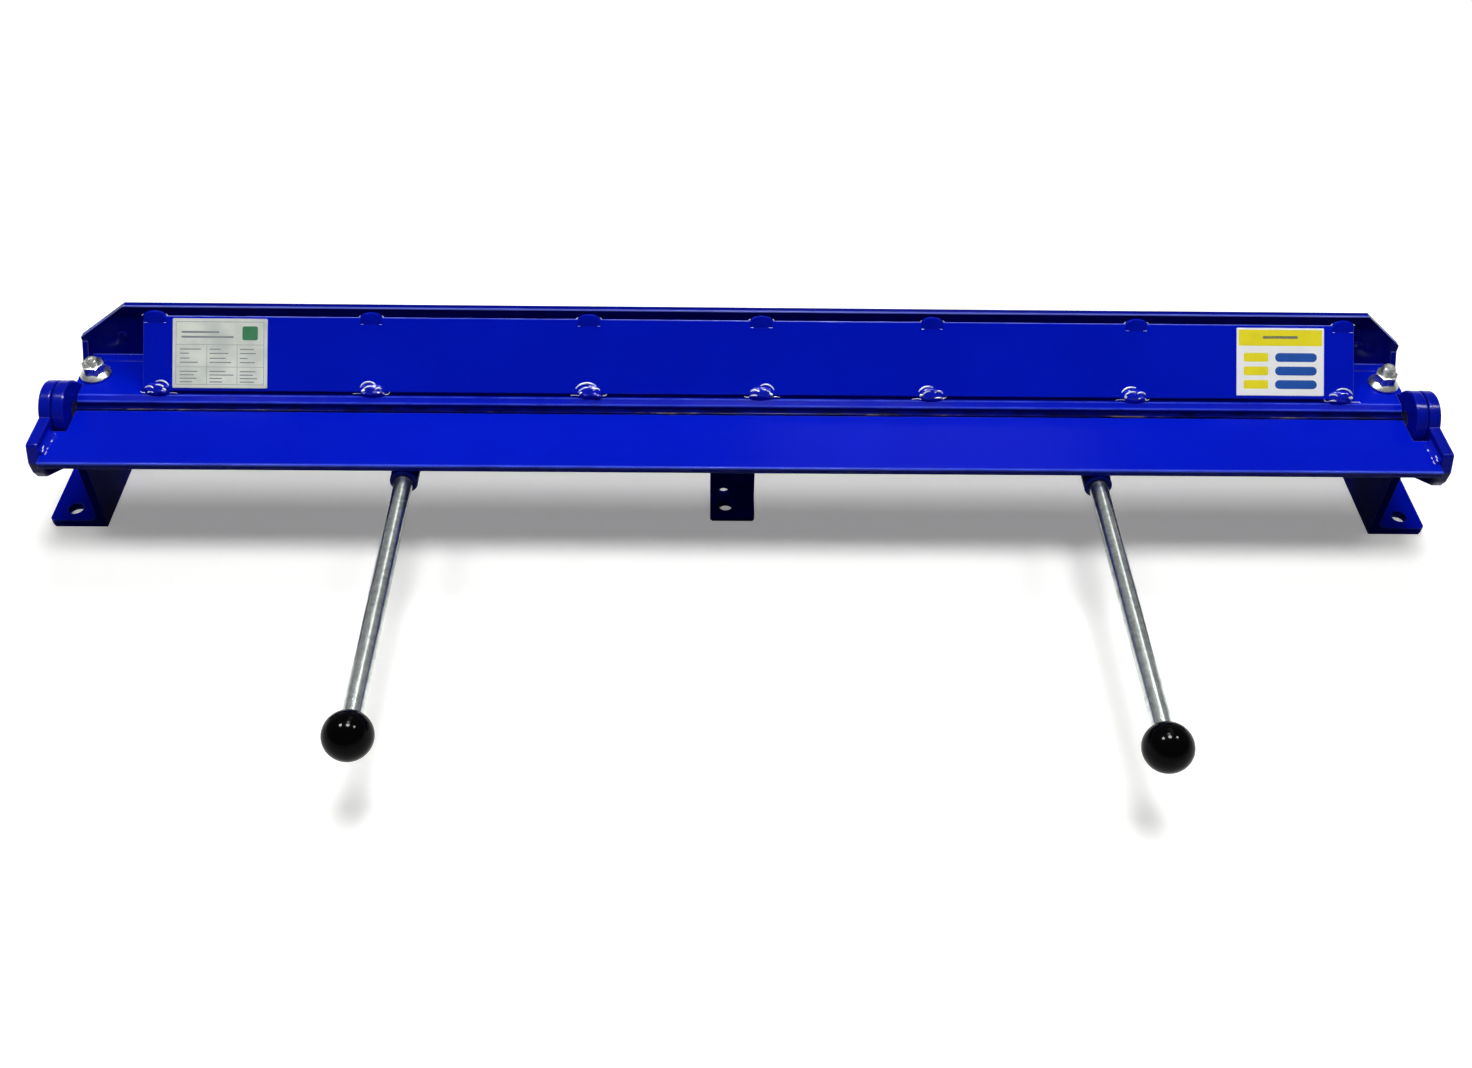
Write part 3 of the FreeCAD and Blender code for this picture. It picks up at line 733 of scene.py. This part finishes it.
def fillets(name, node, body, finish, seed, ripple=0.22 * MM):
    """Hollow fillets with tapered ends in place of a weld node's straight ones."""
    step = 0.6 * MM
    run_out = 0.8 * MM
    end_share = 0.35
    dice = random.Random(seed)
    bm = bmesh.new()
    for low, high, points in loose_solids(node):
        size = high - low
        axis = max(range(3), key=lambda i: size[i])
        root, legs = cross_root(points, axis)
        count = max(8, round(size[axis] / step))
        shift = Vector([dice.uniform(0.0, 90.0) for _ in range(3)]) * MM
        rows = []
        for i in range(count + 1):
            share = i / count
            at = root.copy()
            at[axis] = low[axis] + size[axis] * share
            taper = min(1.0, min(share, 1.0 - share) * size[axis] / run_out + end_share)
            rows.append([at] + hollow_face(at, legs, axis, taper, ripple, shift))
        rings(bm, rows)
    to_piece(bm, name, body, [finish], [node], 60)


def socket_beads(finish):
    """Lumpy beads along the sockets: overlapping drops, each a little off line and size."""
    radius = 2.2 * MM
    step = 2.0 * MM
    inset = radius * 0.6
    dice = random.Random(22)
    drops = []
    for low, high, _ in loose_solids("socket_welds"):
        size = high - low
        axis = max(range(3), key=lambda i: size[i])
        start = (low + high) / 2
        end = start.copy()
        start[axis] = low[axis] + inset
        end[axis] = high[axis] - inset
        count = max(2, round((end - start).length / step) + 1)
        for i in range(count):
            centre = start.lerp(end, i / (count - 1))
            centre += Vector([dice.uniform(-0.13, 0.13) * radius for _ in range(3)])
            drop = radius * dice.uniform(0.84, 1.12)
            drops.append((centre, (drop, drop, drop), UPRIGHT))
    to_piece(fused(drops, 0.4 * MM), "socket_weld_beads", "leaf", [finish],
             ["socket_welds"], 60)


# Painted glints at the front end of an arm's bead: place along and across it, rise and half length
# of each, in millimetres
GLINTS = ((1.6, 0.6, 0.6, 1.8), (2.6, 2.6, 1.6, 1.3), (5.2, 2.9, 2.2, 1.5), (5.6, 0.4, 0.7, 0.8),
          (13.5, 0.6, 0.7, 1.0))


def arm_glints(shine):
    """Painted glints: pale strokes at the front ends of the beads on the leaf's top."""
    dice = random.Random(31)
    bm = bmesh.new()
    leaf_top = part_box("leaf_angle")[1].z
    for low, high, _ in loose_solids("arm_welds"):
        if high.z < leaf_top + 1 * MM:
            continue
        side = 1 if low.x > 0 else -1
        inner = low.x if side > 0 else high.x
        for along, across, rise, length in GLINTS:
            at = Vector((inner + side * across * MM, low.y + along * MM, low.z + rise * MM))
            bend = dice.uniform(-0.5, 0.5) * MM
            line = [at + Vector((bend * math.sin(math.pi * i / 6), (i / 3 - 1) * length * MM, 0.0))
                    for i in range(7)]
            stroke(bm, line, dice.uniform(0.3, 0.42) * MM, Vector((0.0, 0.0, 1.0)))
    to_piece(bm, "arm_weld_painted_glints", "leaf", [shine], sharp=60)


# A filled hole's height over the leg and radius, in millimetres, from its rim inward
PLUG_PROFILE = ((-1.0, 3.9), (0.05, 3.9), (0.4, 3.3), (0.5, 2.6), (0.4, 1.7), (0.25, 0.8),
                (0.2, 0.2))


def plugs(finish):
    """Two filled holes in the upright leg, between the bar's ends and the clamp's ends."""
    inset = 30 * MM
    height = 112 * MM
    low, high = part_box("clamp_angle")
    profile = [(proud * MM, radius * MM) for proud, radius in PLUG_PROFILE]
    bm = bmesh.new()
    for x in (low.x + inset, high.x - inset):
        turned(bm, profile, Vector((x, high.y - WALL, height)), (0, -1, 0), 40)
    lumpy(bm, 4.0 * MM, 0.12 * MM)
    to_piece(bm, "leg_plugs", "clamp", [finish], sharp=60)


ROUND_STEPS = 96
SIXTH = math.pi / 3
CHAMFER = math.tan(math.radians(30))


def hexagon(flats):
    """Radius of a hexagon by angle, from its width across flats."""
    def radius(angle):
        return flats / 2 / math.cos((angle % SIXTH) - SIXTH / 2)
    return radius


def stacked(bm, centre, profile, closed=False):
    """Skin around an upright axis: each row has its height and radius, plain or by angle."""
    rows = []
    for height, radius in profile:
        row = []
        for angle in around(ROUND_STEPS):
            z = height(angle) if callable(height) else height
            r = radius(angle) if callable(radius) else radius
            row.append(Vector((centre.x + r * math.cos(angle), centre.y + r * math.sin(angle), z)))
        rows.append(row)
    rings(bm, rows, closed)


def flange_nut(side, finish):
    """Hexagon nut with a cone-shaped flange, chamfered corners and a chamfered bore."""
    node = side + "_clamp_nut"
    low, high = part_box(node)
    flange = (high.x - low.x) / 2
    flats = 13.8 * MM
    bore = 5.05 * MM
    rim = 1.6 * MM
    cone_rise = 2.4 * MM
    crown = 0.965 * flats / 2
    corner = hexagon(flats)

    def cone(angle):
        share = (flange - corner(angle)) / (flange - flats / 2)
        return low.z + rim + share * cone_rise

    def chamfer(angle):
        return high.z - (corner(angle) - crown) * CHAMFER

    bm = bmesh.new()
    stacked(bm, (low + high) / 2, [
        (low.z, bore + 0.5 * MM), (low.z, flange - 0.4 * MM),
        (low.z + 0.12 * MM, flange - 0.12 * MM), (low.z + 0.4 * MM, flange),
        (low.z + rim - 0.4 * MM, flange), (low.z + rim - 0.05 * MM, flange - 0.2 * MM),
        (cone, corner), (chamfer, corner), (high.z - 0.04 * MM, crown),
        (high.z, crown - 0.2 * MM), (high.z, bore + 0.6 * MM), (high.z - 0.6 * MM, bore),
        (low.z + 0.5 * MM, bore)], closed=True)
    to_piece(bm, side + "_flange_nut", side + "_nut", [finish], [node], 28)


def bolt(side, finish):
    """Hexagon bolt from under the bed, with a rolled thread and a chamfered, dished point."""
    node = side + "_clamp_bolt"
    low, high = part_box(node)
    flats = 16 * MM
    head = 6.4 * MM
    plain = 4.0 * MM
    shank = 5.0 * MM
    pitch = 1.5 * MM
    depth = 0.5 * MM
    point = 1.6 * MM
    taper = 0.85
    crown = 0.95 * flats / 2
    corner = hexagon(flats)

    def chamfer(angle):
        return low.z + (corner(angle) - crown) * CHAMFER

    def thread(z):
        def radius(angle):
            turn = (z / pitch - angle / (2 * math.pi)) % 1.0
            crest = 1.0 - abs(2.0 * turn - 1.0)
            cut = depth * max(0.0, min(1.0, 1.25 * (1.0 - crest) - 0.12))
            limit = shank - max(0.0, point - (high.z - z)) * taper
            return min(shank - cut, limit)
        return radius

    profile = [(low.z, 0.2 * MM), (low.z, crown - 0.5 * MM), (low.z + 0.03 * MM, crown),
               (chamfer, corner), (low.z + head - 0.5 * MM, corner),
               (low.z + head - 0.5 * MM, flats / 2 - 0.2 * MM),
               (low.z + head, flats / 2 - 0.3 * MM), (low.z + head, shank)]
    z = low.z + head + plain
    while z < high.z:
        profile.append((z, thread(z)))
        z += pitch / 8
    profile += [(high.z, shank - 1.4 * MM), (high.z, shank - 2.0 * MM),
                (high.z - 0.6 * MM, shank - 2.4 * MM), (high.z - 0.7 * MM, 0.3 * MM)]
    bm = bmesh.new()
    stacked(bm, (low + high) / 2, profile)
    to_piece(bm, side + "_hex_bolt", "bed", [finish], [node], 40)


def ball(side, finish):
    """Ball end with a flat, slightly dished face around the rod."""
    node = side + "_knob"
    low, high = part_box(node)
    radius = (high.x - low.x) / 2
    centre = Vector(((low.x + high.x) / 2, low.y + radius, (low.z + high.z) / 2))
    face = high.y - centre.y
    start = math.acos(face / radius)
    steps = 40
    turns = [start + (math.pi - start) * i / steps for i in range(steps)]
    skin = [(radius * math.cos(turn), radius * math.sin(turn)) for turn in turns]
    rim = skin[0][1]
    dish = [(face - 2.0 * MM, ROD_RADIUS), (face - 0.4 * MM, ROD_RADIUS + 0.05 * MM),
            (face - 0.25 * MM, ROD_RADIUS + 0.5 * MM), (face - 0.05 * MM, rim - 0.5 * MM),
            (face - 0.12 * MM, rim)]
    tip = [(-radius, 0.15 * MM)]
    bm = bmesh.new()
    turned(bm, dish + skin[1:] + tip, centre, (0, 1, 0), 96)
    to_piece(bm, side + "_ball", "leaf", [finish], [node], 50)


def threaded_socket(side, finish):
    """Short tube under the leaf, with a rounded lip around the rod."""
    node = side + "_socket"
    low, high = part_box(node)
    radius = (high.x - low.x) / 2
    middle = Vector(((low.x + high.x) / 2, low.y, low.z + radius))
    bore = ROD_RADIUS + 0.05 * MM
    length = high.y - low.y
    lip = 1.0 * MM
    lip_steps = 6
    profile = [(length, bore), (0.9 * MM, bore), (0.15 * MM, bore + 0.6 * MM),
               (0.0, bore + 0.9 * MM)]
    for i in range(lip_steps + 1):
        angle = math.pi / 2 * i / lip_steps
        profile.append((lip - lip * math.cos(angle), radius - lip + lip * math.sin(angle)))
    profile.append((length, radius))
    bm = bmesh.new()
    turned(bm, profile, middle, (0, 1, 0), closed=True)
    to_piece(bm, side + "_socket_tube", "leaf", [finish], [node], 40)


PRINT = 0.03 * MM


class Sheet:
    """Flat plate or film on the sloping bar, and ink on it, in millimetres from its lower left
    corner."""

    def __init__(self, node):
        low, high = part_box(node)
        points = [vertex.co - BAR_FOOT for vertex in NODES[node].data.vertices]
        alongs = [point.dot(BAR_ALONG) for point in points]
        outs = [point.dot(BAR_OUT) for point in points]
        self.node = node
        self.left = low.x
        self.width = (high.x - low.x) / MM
        self.low = min(alongs)
        self.height = (max(alongs) - self.low) / MM
        self.back = min(outs)
        self.face = max(outs)

    def row(self, outline, out):
        return [on_bar(self.left + u * MM, self.low + v * MM, out) for u, v in outline]

    def ink(self, bm, outline, colour):
        """Closed thin layer on the face with the given outline."""
        before = set(bm.faces)
        rings(bm, [self.row(outline, self.face - PRINT), self.row(outline, self.face + PRINT)])
        for face in set(bm.faces) - before:
            face.material_index = colour


def plain_box(u0, v0, u1, v1):
    return [(u0, v0), (u1, v0), (u1, v1), (u0, v1)]


def rounded_box(u0, v0, u1, v1, r, steps=5):
    """Outline of a rectangle with round corners."""
    outline = []
    for cu, cv, start in ((u1 - r, v1 - r, 0), (u0 + r, v1 - r, 1), (u0 + r, v0 + r, 2),
                          (u1 - r, v0 + r, 3)):
        for i in range(steps + 1):
            angle = math.pi / 2 * (start + i / steps)
            outline.append((cu + r * math.cos(angle), cv + r * math.sin(angle)))
    return outline


def plate_piece(name, sheet, finish, corner):
    """The blank plate or film itself, with round corners and a softened edge."""
    soft = 0.12
    outline = rounded_box(0, 0, sheet.width, sheet.height, corner)
    inner = rounded_box(soft, soft, sheet.width - soft, sheet.height - soft, corner - soft)
    edge = sheet.back + (sheet.face - sheet.back) * 0.6
    bm = bmesh.new()
    rings(bm, [sheet.row(outline, sheet.back), sheet.row(outline, edge),
               sheet.row(inner, sheet.face)])
    to_piece(bm, name, "clamp", [finish], [sheet.node], 30)


def plate_rules(sheet, bm):
    """Outline near the plate's edge, and the rules that part it into boxes."""
    w, h = sheet.width, sheet.height
    edge = 2.2
    line = 0.28
    start = 2.5
    rule = 0.25
    right, top = w - edge, h - edge
    for box in ((edge, edge, right, edge + line), (edge, top - line, right, top),
                (edge, edge + line, edge + line, top - line),
                (right - line, edge + line, right, top - line)):
        sheet.ink(bm, plain_box(*box), 0)
    for v in (0.30 * h, 0.62 * h):
        sheet.ink(bm, plain_box(start, v, w - start, v + rule), 0)
    for u in (0.36 * w, 0.68 * w):
        sheet.ink(bm, plain_box(u, start, u + rule, 0.62 * h), 0)


def rating_plate(finish, inks):
    """Bare data plate: a ruled frame with boxes of plain bars."""
    sheet = Sheet("rating_plate")
    plate_piece("data_plate", sheet, finish, 0.8)
    bm = bmesh.new()
    plate_rules(sheet, bm)
    w, h = sheet.width, sheet.height
    margin = 5.0
    dice = random.Random(3)
    for u0, u1 in ((margin, 0.34 * w), (0.39 * w, 0.66 * w), (0.71 * w, w - margin)):
        for share in (0.08, 0.13, 0.18, 0.23, 0.36, 0.42, 0.49, 0.55):
            v = share * h
            length = (u1 - u0) * dice.uniform(0.35, 0.95)
            sheet.ink(bm, rounded_box(u0, v, u0 + length, v + 0.7, 0.25, 3), 1)
    for v, share in ((0.72 * h, 0.55), (0.79 * h, 0.40)):
        sheet.ink(bm, rounded_box(6.0, v, 6.0 + share * w, v + 1.3, 0.4, 3), 1)
    sheet.ink(bm, rounded_box(w - 17.0, 0.69 * h, w - 6.5, 0.89 * h, 1.4), 2)
    to_piece(bm, "data_plate_print", "clamp", inks, sharp=30)


def label(finish, inks):
    """Plain label: a yellow band and blocks of colour that stand for nothing."""
    sheet = Sheet("label")
    plate_piece("plain_label", sheet, finish, 0.7)
    bm = bmesh.new()
    w, h = sheet.width, sheet.height
    margin = 5.0
    block = 0.13 * h
    sheet.ink(bm, rounded_box(1.3, 0.735 * h, w - 1.3, h - 1.3, 0.4), 0)
    for i in range(3):
        v = (0.10 + 0.20 * i) * h
        sheet.ink(bm, rounded_box(margin, v, 0.36 * w, v + block, 1.0), 0)
        sheet.ink(bm, rounded_box(0.44 * w, v, w - margin, v + block, 3.0), 1)
    sheet.ink(bm, rounded_box(0.30 * w, 0.84 * h, 0.70 * w, 0.88 * h, 0.5), 2)
    to_piece(bm, "plain_label_print", "clamp", inks, sharp=30)


def lamp(name, x, y, size, power, depth=None):
    """Round lamp over the machine, or a long one where its depth is given."""
    data = bpy.data.lights.new(name, "AREA")
    data.shape = "RECTANGLE" if depth else "DISK"
    data.size = size
    if depth:
        data.size_y = depth
    data.energy = power
    obj = placed(name, data)
    obj.location = Vector((x, y, LAMP_HEIGHT))
    target = Vector((x, y, 0.0)) if depth else LAMP_TARGET
    obj.rotation_euler = (target - obj.location).to_track_quat("-Z", "Y").to_euler()
    return obj


def lamps():
    for setting in SOFT_LAMPS:
        lamp(*setting).visible_glossy = False
    for setting in SPARKS:
        lamp(*setting).visible_diffuse = False
    lamp("panel", 0.0, PANEL_Y, PANEL_LENGTH, PANEL_POWER, PANEL_DEPTH).visible_glossy = False


def seen_rays(tree):
    """1 for rays from the camera alone, and for those from glossy and clear surfaces as well."""
    path = add(tree, "LightPath", {}).outputs
    seen = calc(tree, "MAXIMUM", path["Is Camera Ray"], path["Is Glossy Ray"])
    return path["Is Camera Ray"], calc(tree, "MAXIMUM", seen, path["Is Transmission Ray"])


def studio():
    """White backdrop near the horizon, a grey ceiling with a soft white window high behind the
    machine, and a faint fill from above."""
    world = bpy.data.worlds.new("studio")
    bpy.context.scene.world = world
    world.use_nodes = True
    tree = world.node_tree
    camera_ray, seen = seen_rays(tree)
    across, behind, rise = axes(tree, add(tree, "TexCoord", {}).outputs["Generated"])
    backdrop = spread(tree, rise, HORIZON_LOW, HORIZON_HIGH, 1.0, CEILING)
    window = calc(tree, "MULTIPLY", spread(tree, rise, *WINDOW_RISE, 0.0, WINDOW),
                  spread(tree, behind, *WINDOW_BACK))
    window = calc(tree, "MULTIPLY", window,
                  spread(tree, apart(tree, across, WINDOW_X), *WINDOW_ASIDE, 1.0, 0.0))
    backdrop = calc(tree, "MAXIMUM", calc(tree, "MAXIMUM", backdrop, window), camera_ray)
    shown = calc(tree, "MULTIPLY", seen, backdrop)
    above = calc(tree, "POWER", calc(tree, "MAXIMUM", rise, 0.0), 2.0)
    fill = calc(tree, "MULTIPLY", calc(tree, "SUBTRACT", 1.0, seen),
                calc(tree, "MULTIPLY", above, FILL))
    feed(tree, tree.nodes["Background"], {"Strength": calc(tree, "ADD", shown, fill),
                                          "Color": WHITE})


def mixed(tree, share, first, second):
    return add(tree, "MixShader", {0: share, 1: first, 2: second}).outputs[0]


def floor_finish():
    """Pale floor: seen as white with the machine's shadow, and a grey that returns little light."""
    material, tree, shader, where = fresh("floor_white")
    tree.nodes.remove(shader)
    _, seen = seen_rays(tree)
    pale = add(tree, "BsdfDiffuse", {"Color": FLOOR_PALE}).outputs[0]
    glow = add(tree, "Emission", {"Color": FLOOR_WARM, "Strength": FLOOR_GLOW}).outputs[0]
    near = add(tree, "AddShader", {0: pale, 1: glow}).outputs[0]
    far = add(tree, "Emission", {"Color": WHITE, "Strength": 1.0}).outputs[0]
    grey = add(tree, "BsdfDiffuse", {"Color": FLOOR_BOUNCE}).outputs[0]
    reach = add(tree, "VectorMath", {0: where})
    reach.operation = "LENGTH"
    away = spread(tree, reach.outputs["Value"], FLOOR_NEAR, FLOOR_FAR)
    surface = mixed(tree, seen, grey, mixed(tree, away, near, far))
    feed(tree, tree.nodes["Material Output"], {"Surface": surface})
    return material


def floor():
    bm = bmesh.new()
    bmesh.ops.create_circle(bm, cap_ends=True, segments=96, radius=FLOOR_RADIUS)
    mesh = mesh_of(bm, "floor")
    mesh.materials.append(floor_finish())
    placed("floor", mesh)


def camera():
    data = bpy.data.cameras.new("photo_camera")
    data.sensor_fit = "HORIZONTAL"
    data.sensor_width = SENSOR
    data.lens = CAMERA_LENS
    data.clip_start = CAMERA_CLIP
    ahead = Vector((math.sin(CAMERA_YAW) * math.cos(CAMERA_DOWN),
                    math.cos(CAMERA_YAW) * math.cos(CAMERA_DOWN), -math.sin(CAMERA_DOWN)))
    level = Vector((math.cos(CAMERA_YAW), -math.sin(CAMERA_YAW), 0.0))
    top = level.cross(ahead)
    right = math.cos(CAMERA_ROLL) * level + math.sin(CAMERA_ROLL) * top
    up = -math.sin(CAMERA_ROLL) * level + math.cos(CAMERA_ROLL) * top
    turn = Matrix((right, up, -ahead)).transposed().to_4x4()
    obj = placed("photo_camera", data)
    obj.matrix_world = Matrix.Translation(CAMERA_AT) @ turn
    bpy.context.scene.camera = obj


def lined_paints():
    """Enamel of the long angles and the bar, with lines of painted light and painted shade, and of
    wear, along them.
    """
    leaf_low, leaf_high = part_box("leaf_angle")
    bed_low, bed_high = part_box("bed_angle")
    clamp_low, clamp_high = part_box("clamp_angle")
    nose = (clamp_low.y, clamp_low.z + 2.5 * MM)
    crest = (clamp_low.y + 4.5 * MM, clamp_low.z + WALL)
    upright = clamp_high.y - WALL
    bar_edge = on_bar(0.0, BAR_WIDTH, WALL)
    bend_line = (leaf_high.y, leaf_high.z)
    # Painted highlights along the leaf's front edge and the bend line
    leaf_highlights = (((leaf_low.y, leaf_high.z), 2.0 * MM, BLUE_NOSE_HIGHLIGHT, 0.7, 1.0),
                   (bend_line, 0.8 * MM, BLUE_NOSE_HIGHLIGHT, 0.3, 1.0))
    # Painted shade on the leaf's front face, under its top edge
    leaf_dark = (((leaf_low.y, leaf_high.z - 3.4 * MM), 5.0 * MM, BLUE_SHADE),)
    bed_edge = (bed_low.y, bed_high.z)
    # Painted highlights along the clamp's nose, the crest above it and the upright's top edge
    clamp_highlights = ((nose, 1.2 * MM, BLUE_NOSE_HIGHLIGHT, 0.5, 1.0), (crest, 0.9 * MM, BLUE_NOSE_HIGHLIGHT, 0.2, 0.8),
                    ((upright, clamp_high.z), 1.2 * MM, BLUE_HIGHLIGHT_LINE, 0.9, 1.0))
    # Painted shade on the upright's top face and in the recess above the bar's head
    clamp_dark = (((clamp_high.y, clamp_high.z), 5.5 * MM, BLUE_SHADE),
                  ((upright, clamp_high.z - 5 * MM), 9 * MM, BLUE_RECESS_SHADE))
    # Painted highlight along the bar's top edge
    bar_highlights = (((bar_edge.y, bar_edge.z), 0.9 * MM, BLUE_HIGHLIGHT_LINE, 0.5, 1.0),)
    return {
        "leaf": paint("blue_enamel_leaf", worn_line=bend_line, highlight_lines=leaf_highlights,
                      dark_lines=leaf_dark),
        # The bed's front strip, under the clamp's nose, is darkened with painted shadow
        "bed": paint("blue_enamel_bed", worn_line=bed_edge,
                     dark_lines=((bed_edge, 10 * MM, BLUE_GAP_SHADOW),)),
        "clamp": paint("blue_enamel_clamp", highlight_lines=clamp_highlights, dark_lines=clamp_dark,
                       dark_face=upright),
        "bar": paint("blue_enamel_bar", highlight_lines=bar_highlights)}


def plain_paints():
    """Enamel of all other painted pieces."""
    return {
        "blue": paint("blue_enamel"),
        "bead": paint("blue_enamel_in_shade", edge=0.3 * MM),
        "pad": paint("blue_enamel_on_pad", BLUE_DEEP, toned(BLUE_DEEP, 0.85), edge=0.2 * MM),
        # Sockets, arms and hinge plates: darker copies of the enamel as painted shade
        "socket": paint("blue_enamel_socket_shaded", BLUE_SOCKET_SHADE, toned(BLUE_SOCKET_SHADE, 0.7), edge=0.3 * MM),
        "side": paint("blue_enamel_side_shaded", BLUE_SIDE_SHADE, toned(BLUE_SIDE_SHADE, 0.8), gloss=0.09),
        # Gussets and plugs: a darker copy of the enamel as painted shade
        "painted_shade": paint("blue_enamel_painted_shade", BLUE_UPRIGHT_SHADE, toned(BLUE_UPRIGHT_SHADE, 0.7)),
        # Feet: a darker copy of the enamel as painted shade
        "foot": paint("blue_enamel_foot_shaded", BLUE_FOOT_SHADE, toned(BLUE_FOOT_SHADE, 0.85), gloss=0.004),
        "weld": weld_paint("blue_enamel_on_weld"),
        "painted_glint": glint_paint("painted_glint_on_ridge")}


def other_finishes():
    """Plating, bare steel, plastic, foil, film and inks."""
    inks = (("yellow_ink", INK_YELLOW, 0.9, 0.32), ("blue_ink", INK_BLUE, 0.85, 0.32),
            ("grey_ink", INK_GREY, 1.3, 0.40), ("green_ink", INK_GREEN, 1.3, 0.40))
    return {
        "zinc_rod": metal("zinc_rod", (ROD_ZINC, ROD_DULL, ROD_BRIGHT), 0.20, (1.0, 0.12, 1.0),
                          900.0, 0.002 * MM),
        "zinc": metal("zinc_fastener", (ZINC_BRIGHT, ZINC, ZINC_BRIGHT), 0.26, (1.0, 1.0, 0.3),
                      700.0, 0.001 * MM),
        "steel": metal("turned_steel", (STEEL, STEEL_DARK, STEEL), 0.28, (0.2, 1.0, 1.0),
                       900.0, 0.008 * MM),
        "black": phenolic("black_phenolic"),
        "foil": printed("plate_foil", FOIL, FOIL_DULL, 0.38, (0.1, 1.0, 1.0)),
        "film": printed("label_film", FILM, toned(FILM, 0.94), 0.30),
        **{name: printed(name, ink, toned(ink, fade), rough) for name, ink, fade, rough in inks}}


def dress_nodes(looks):
    """Give every shown node of the frame its finish."""
    for node, obj in NODES.items():
        name = node.split("_", 1)[1] if node.startswith(HANDED) else node
        obj.data.materials.clear()
        obj.data.materials.append(looks[NODE_FINISHES.get(name, "blue")])


def finer_pieces(looks):
    """Welds, fasteners, sockets, ball ends and signs in place of plain ones, and two plugs."""
    lower_stitches(looks["weld"], looks["painted_glint"])
    upper_stitches(looks["pad"], looks["painted_glint"])
    fillets("arm_weld_beads", "arm_welds", "leaf", looks["weld"], 21)
    fillets("foot_weld_beads", "foot_welds", "bed", looks["weld"], 23)
    fillets("crease_weld_beads", "crease_welds", "clamp", looks["blue"], 24, 0.2 * MM)
    socket_beads(looks["bead"])
    arm_glints(looks["painted_glint"])
    # The plugs take the enamel darkened with painted shade
    plugs(looks["painted_shade"])
    for side in HANDED:
        flange_nut(side, looks["zinc"])
        bolt(side, looks["zinc"])
        ball(side, looks["black"])
        threaded_socket(side, looks["socket"])
    rating_plate(looks["foil"], [looks["grey_ink"], looks["grey_ink"], looks["green_ink"]])
    label(looks["film"], [looks["yellow_ink"], looks["blue_ink"], looks["grey_ink"]])


looks = {**plain_paints(), **other_finishes(), **lined_paints()}
dress_nodes(looks)
finer_pieces(looks)
floor()
studio()
lamps()
camera()
bpy.context.scene.view_settings.view_transform = "Standard"
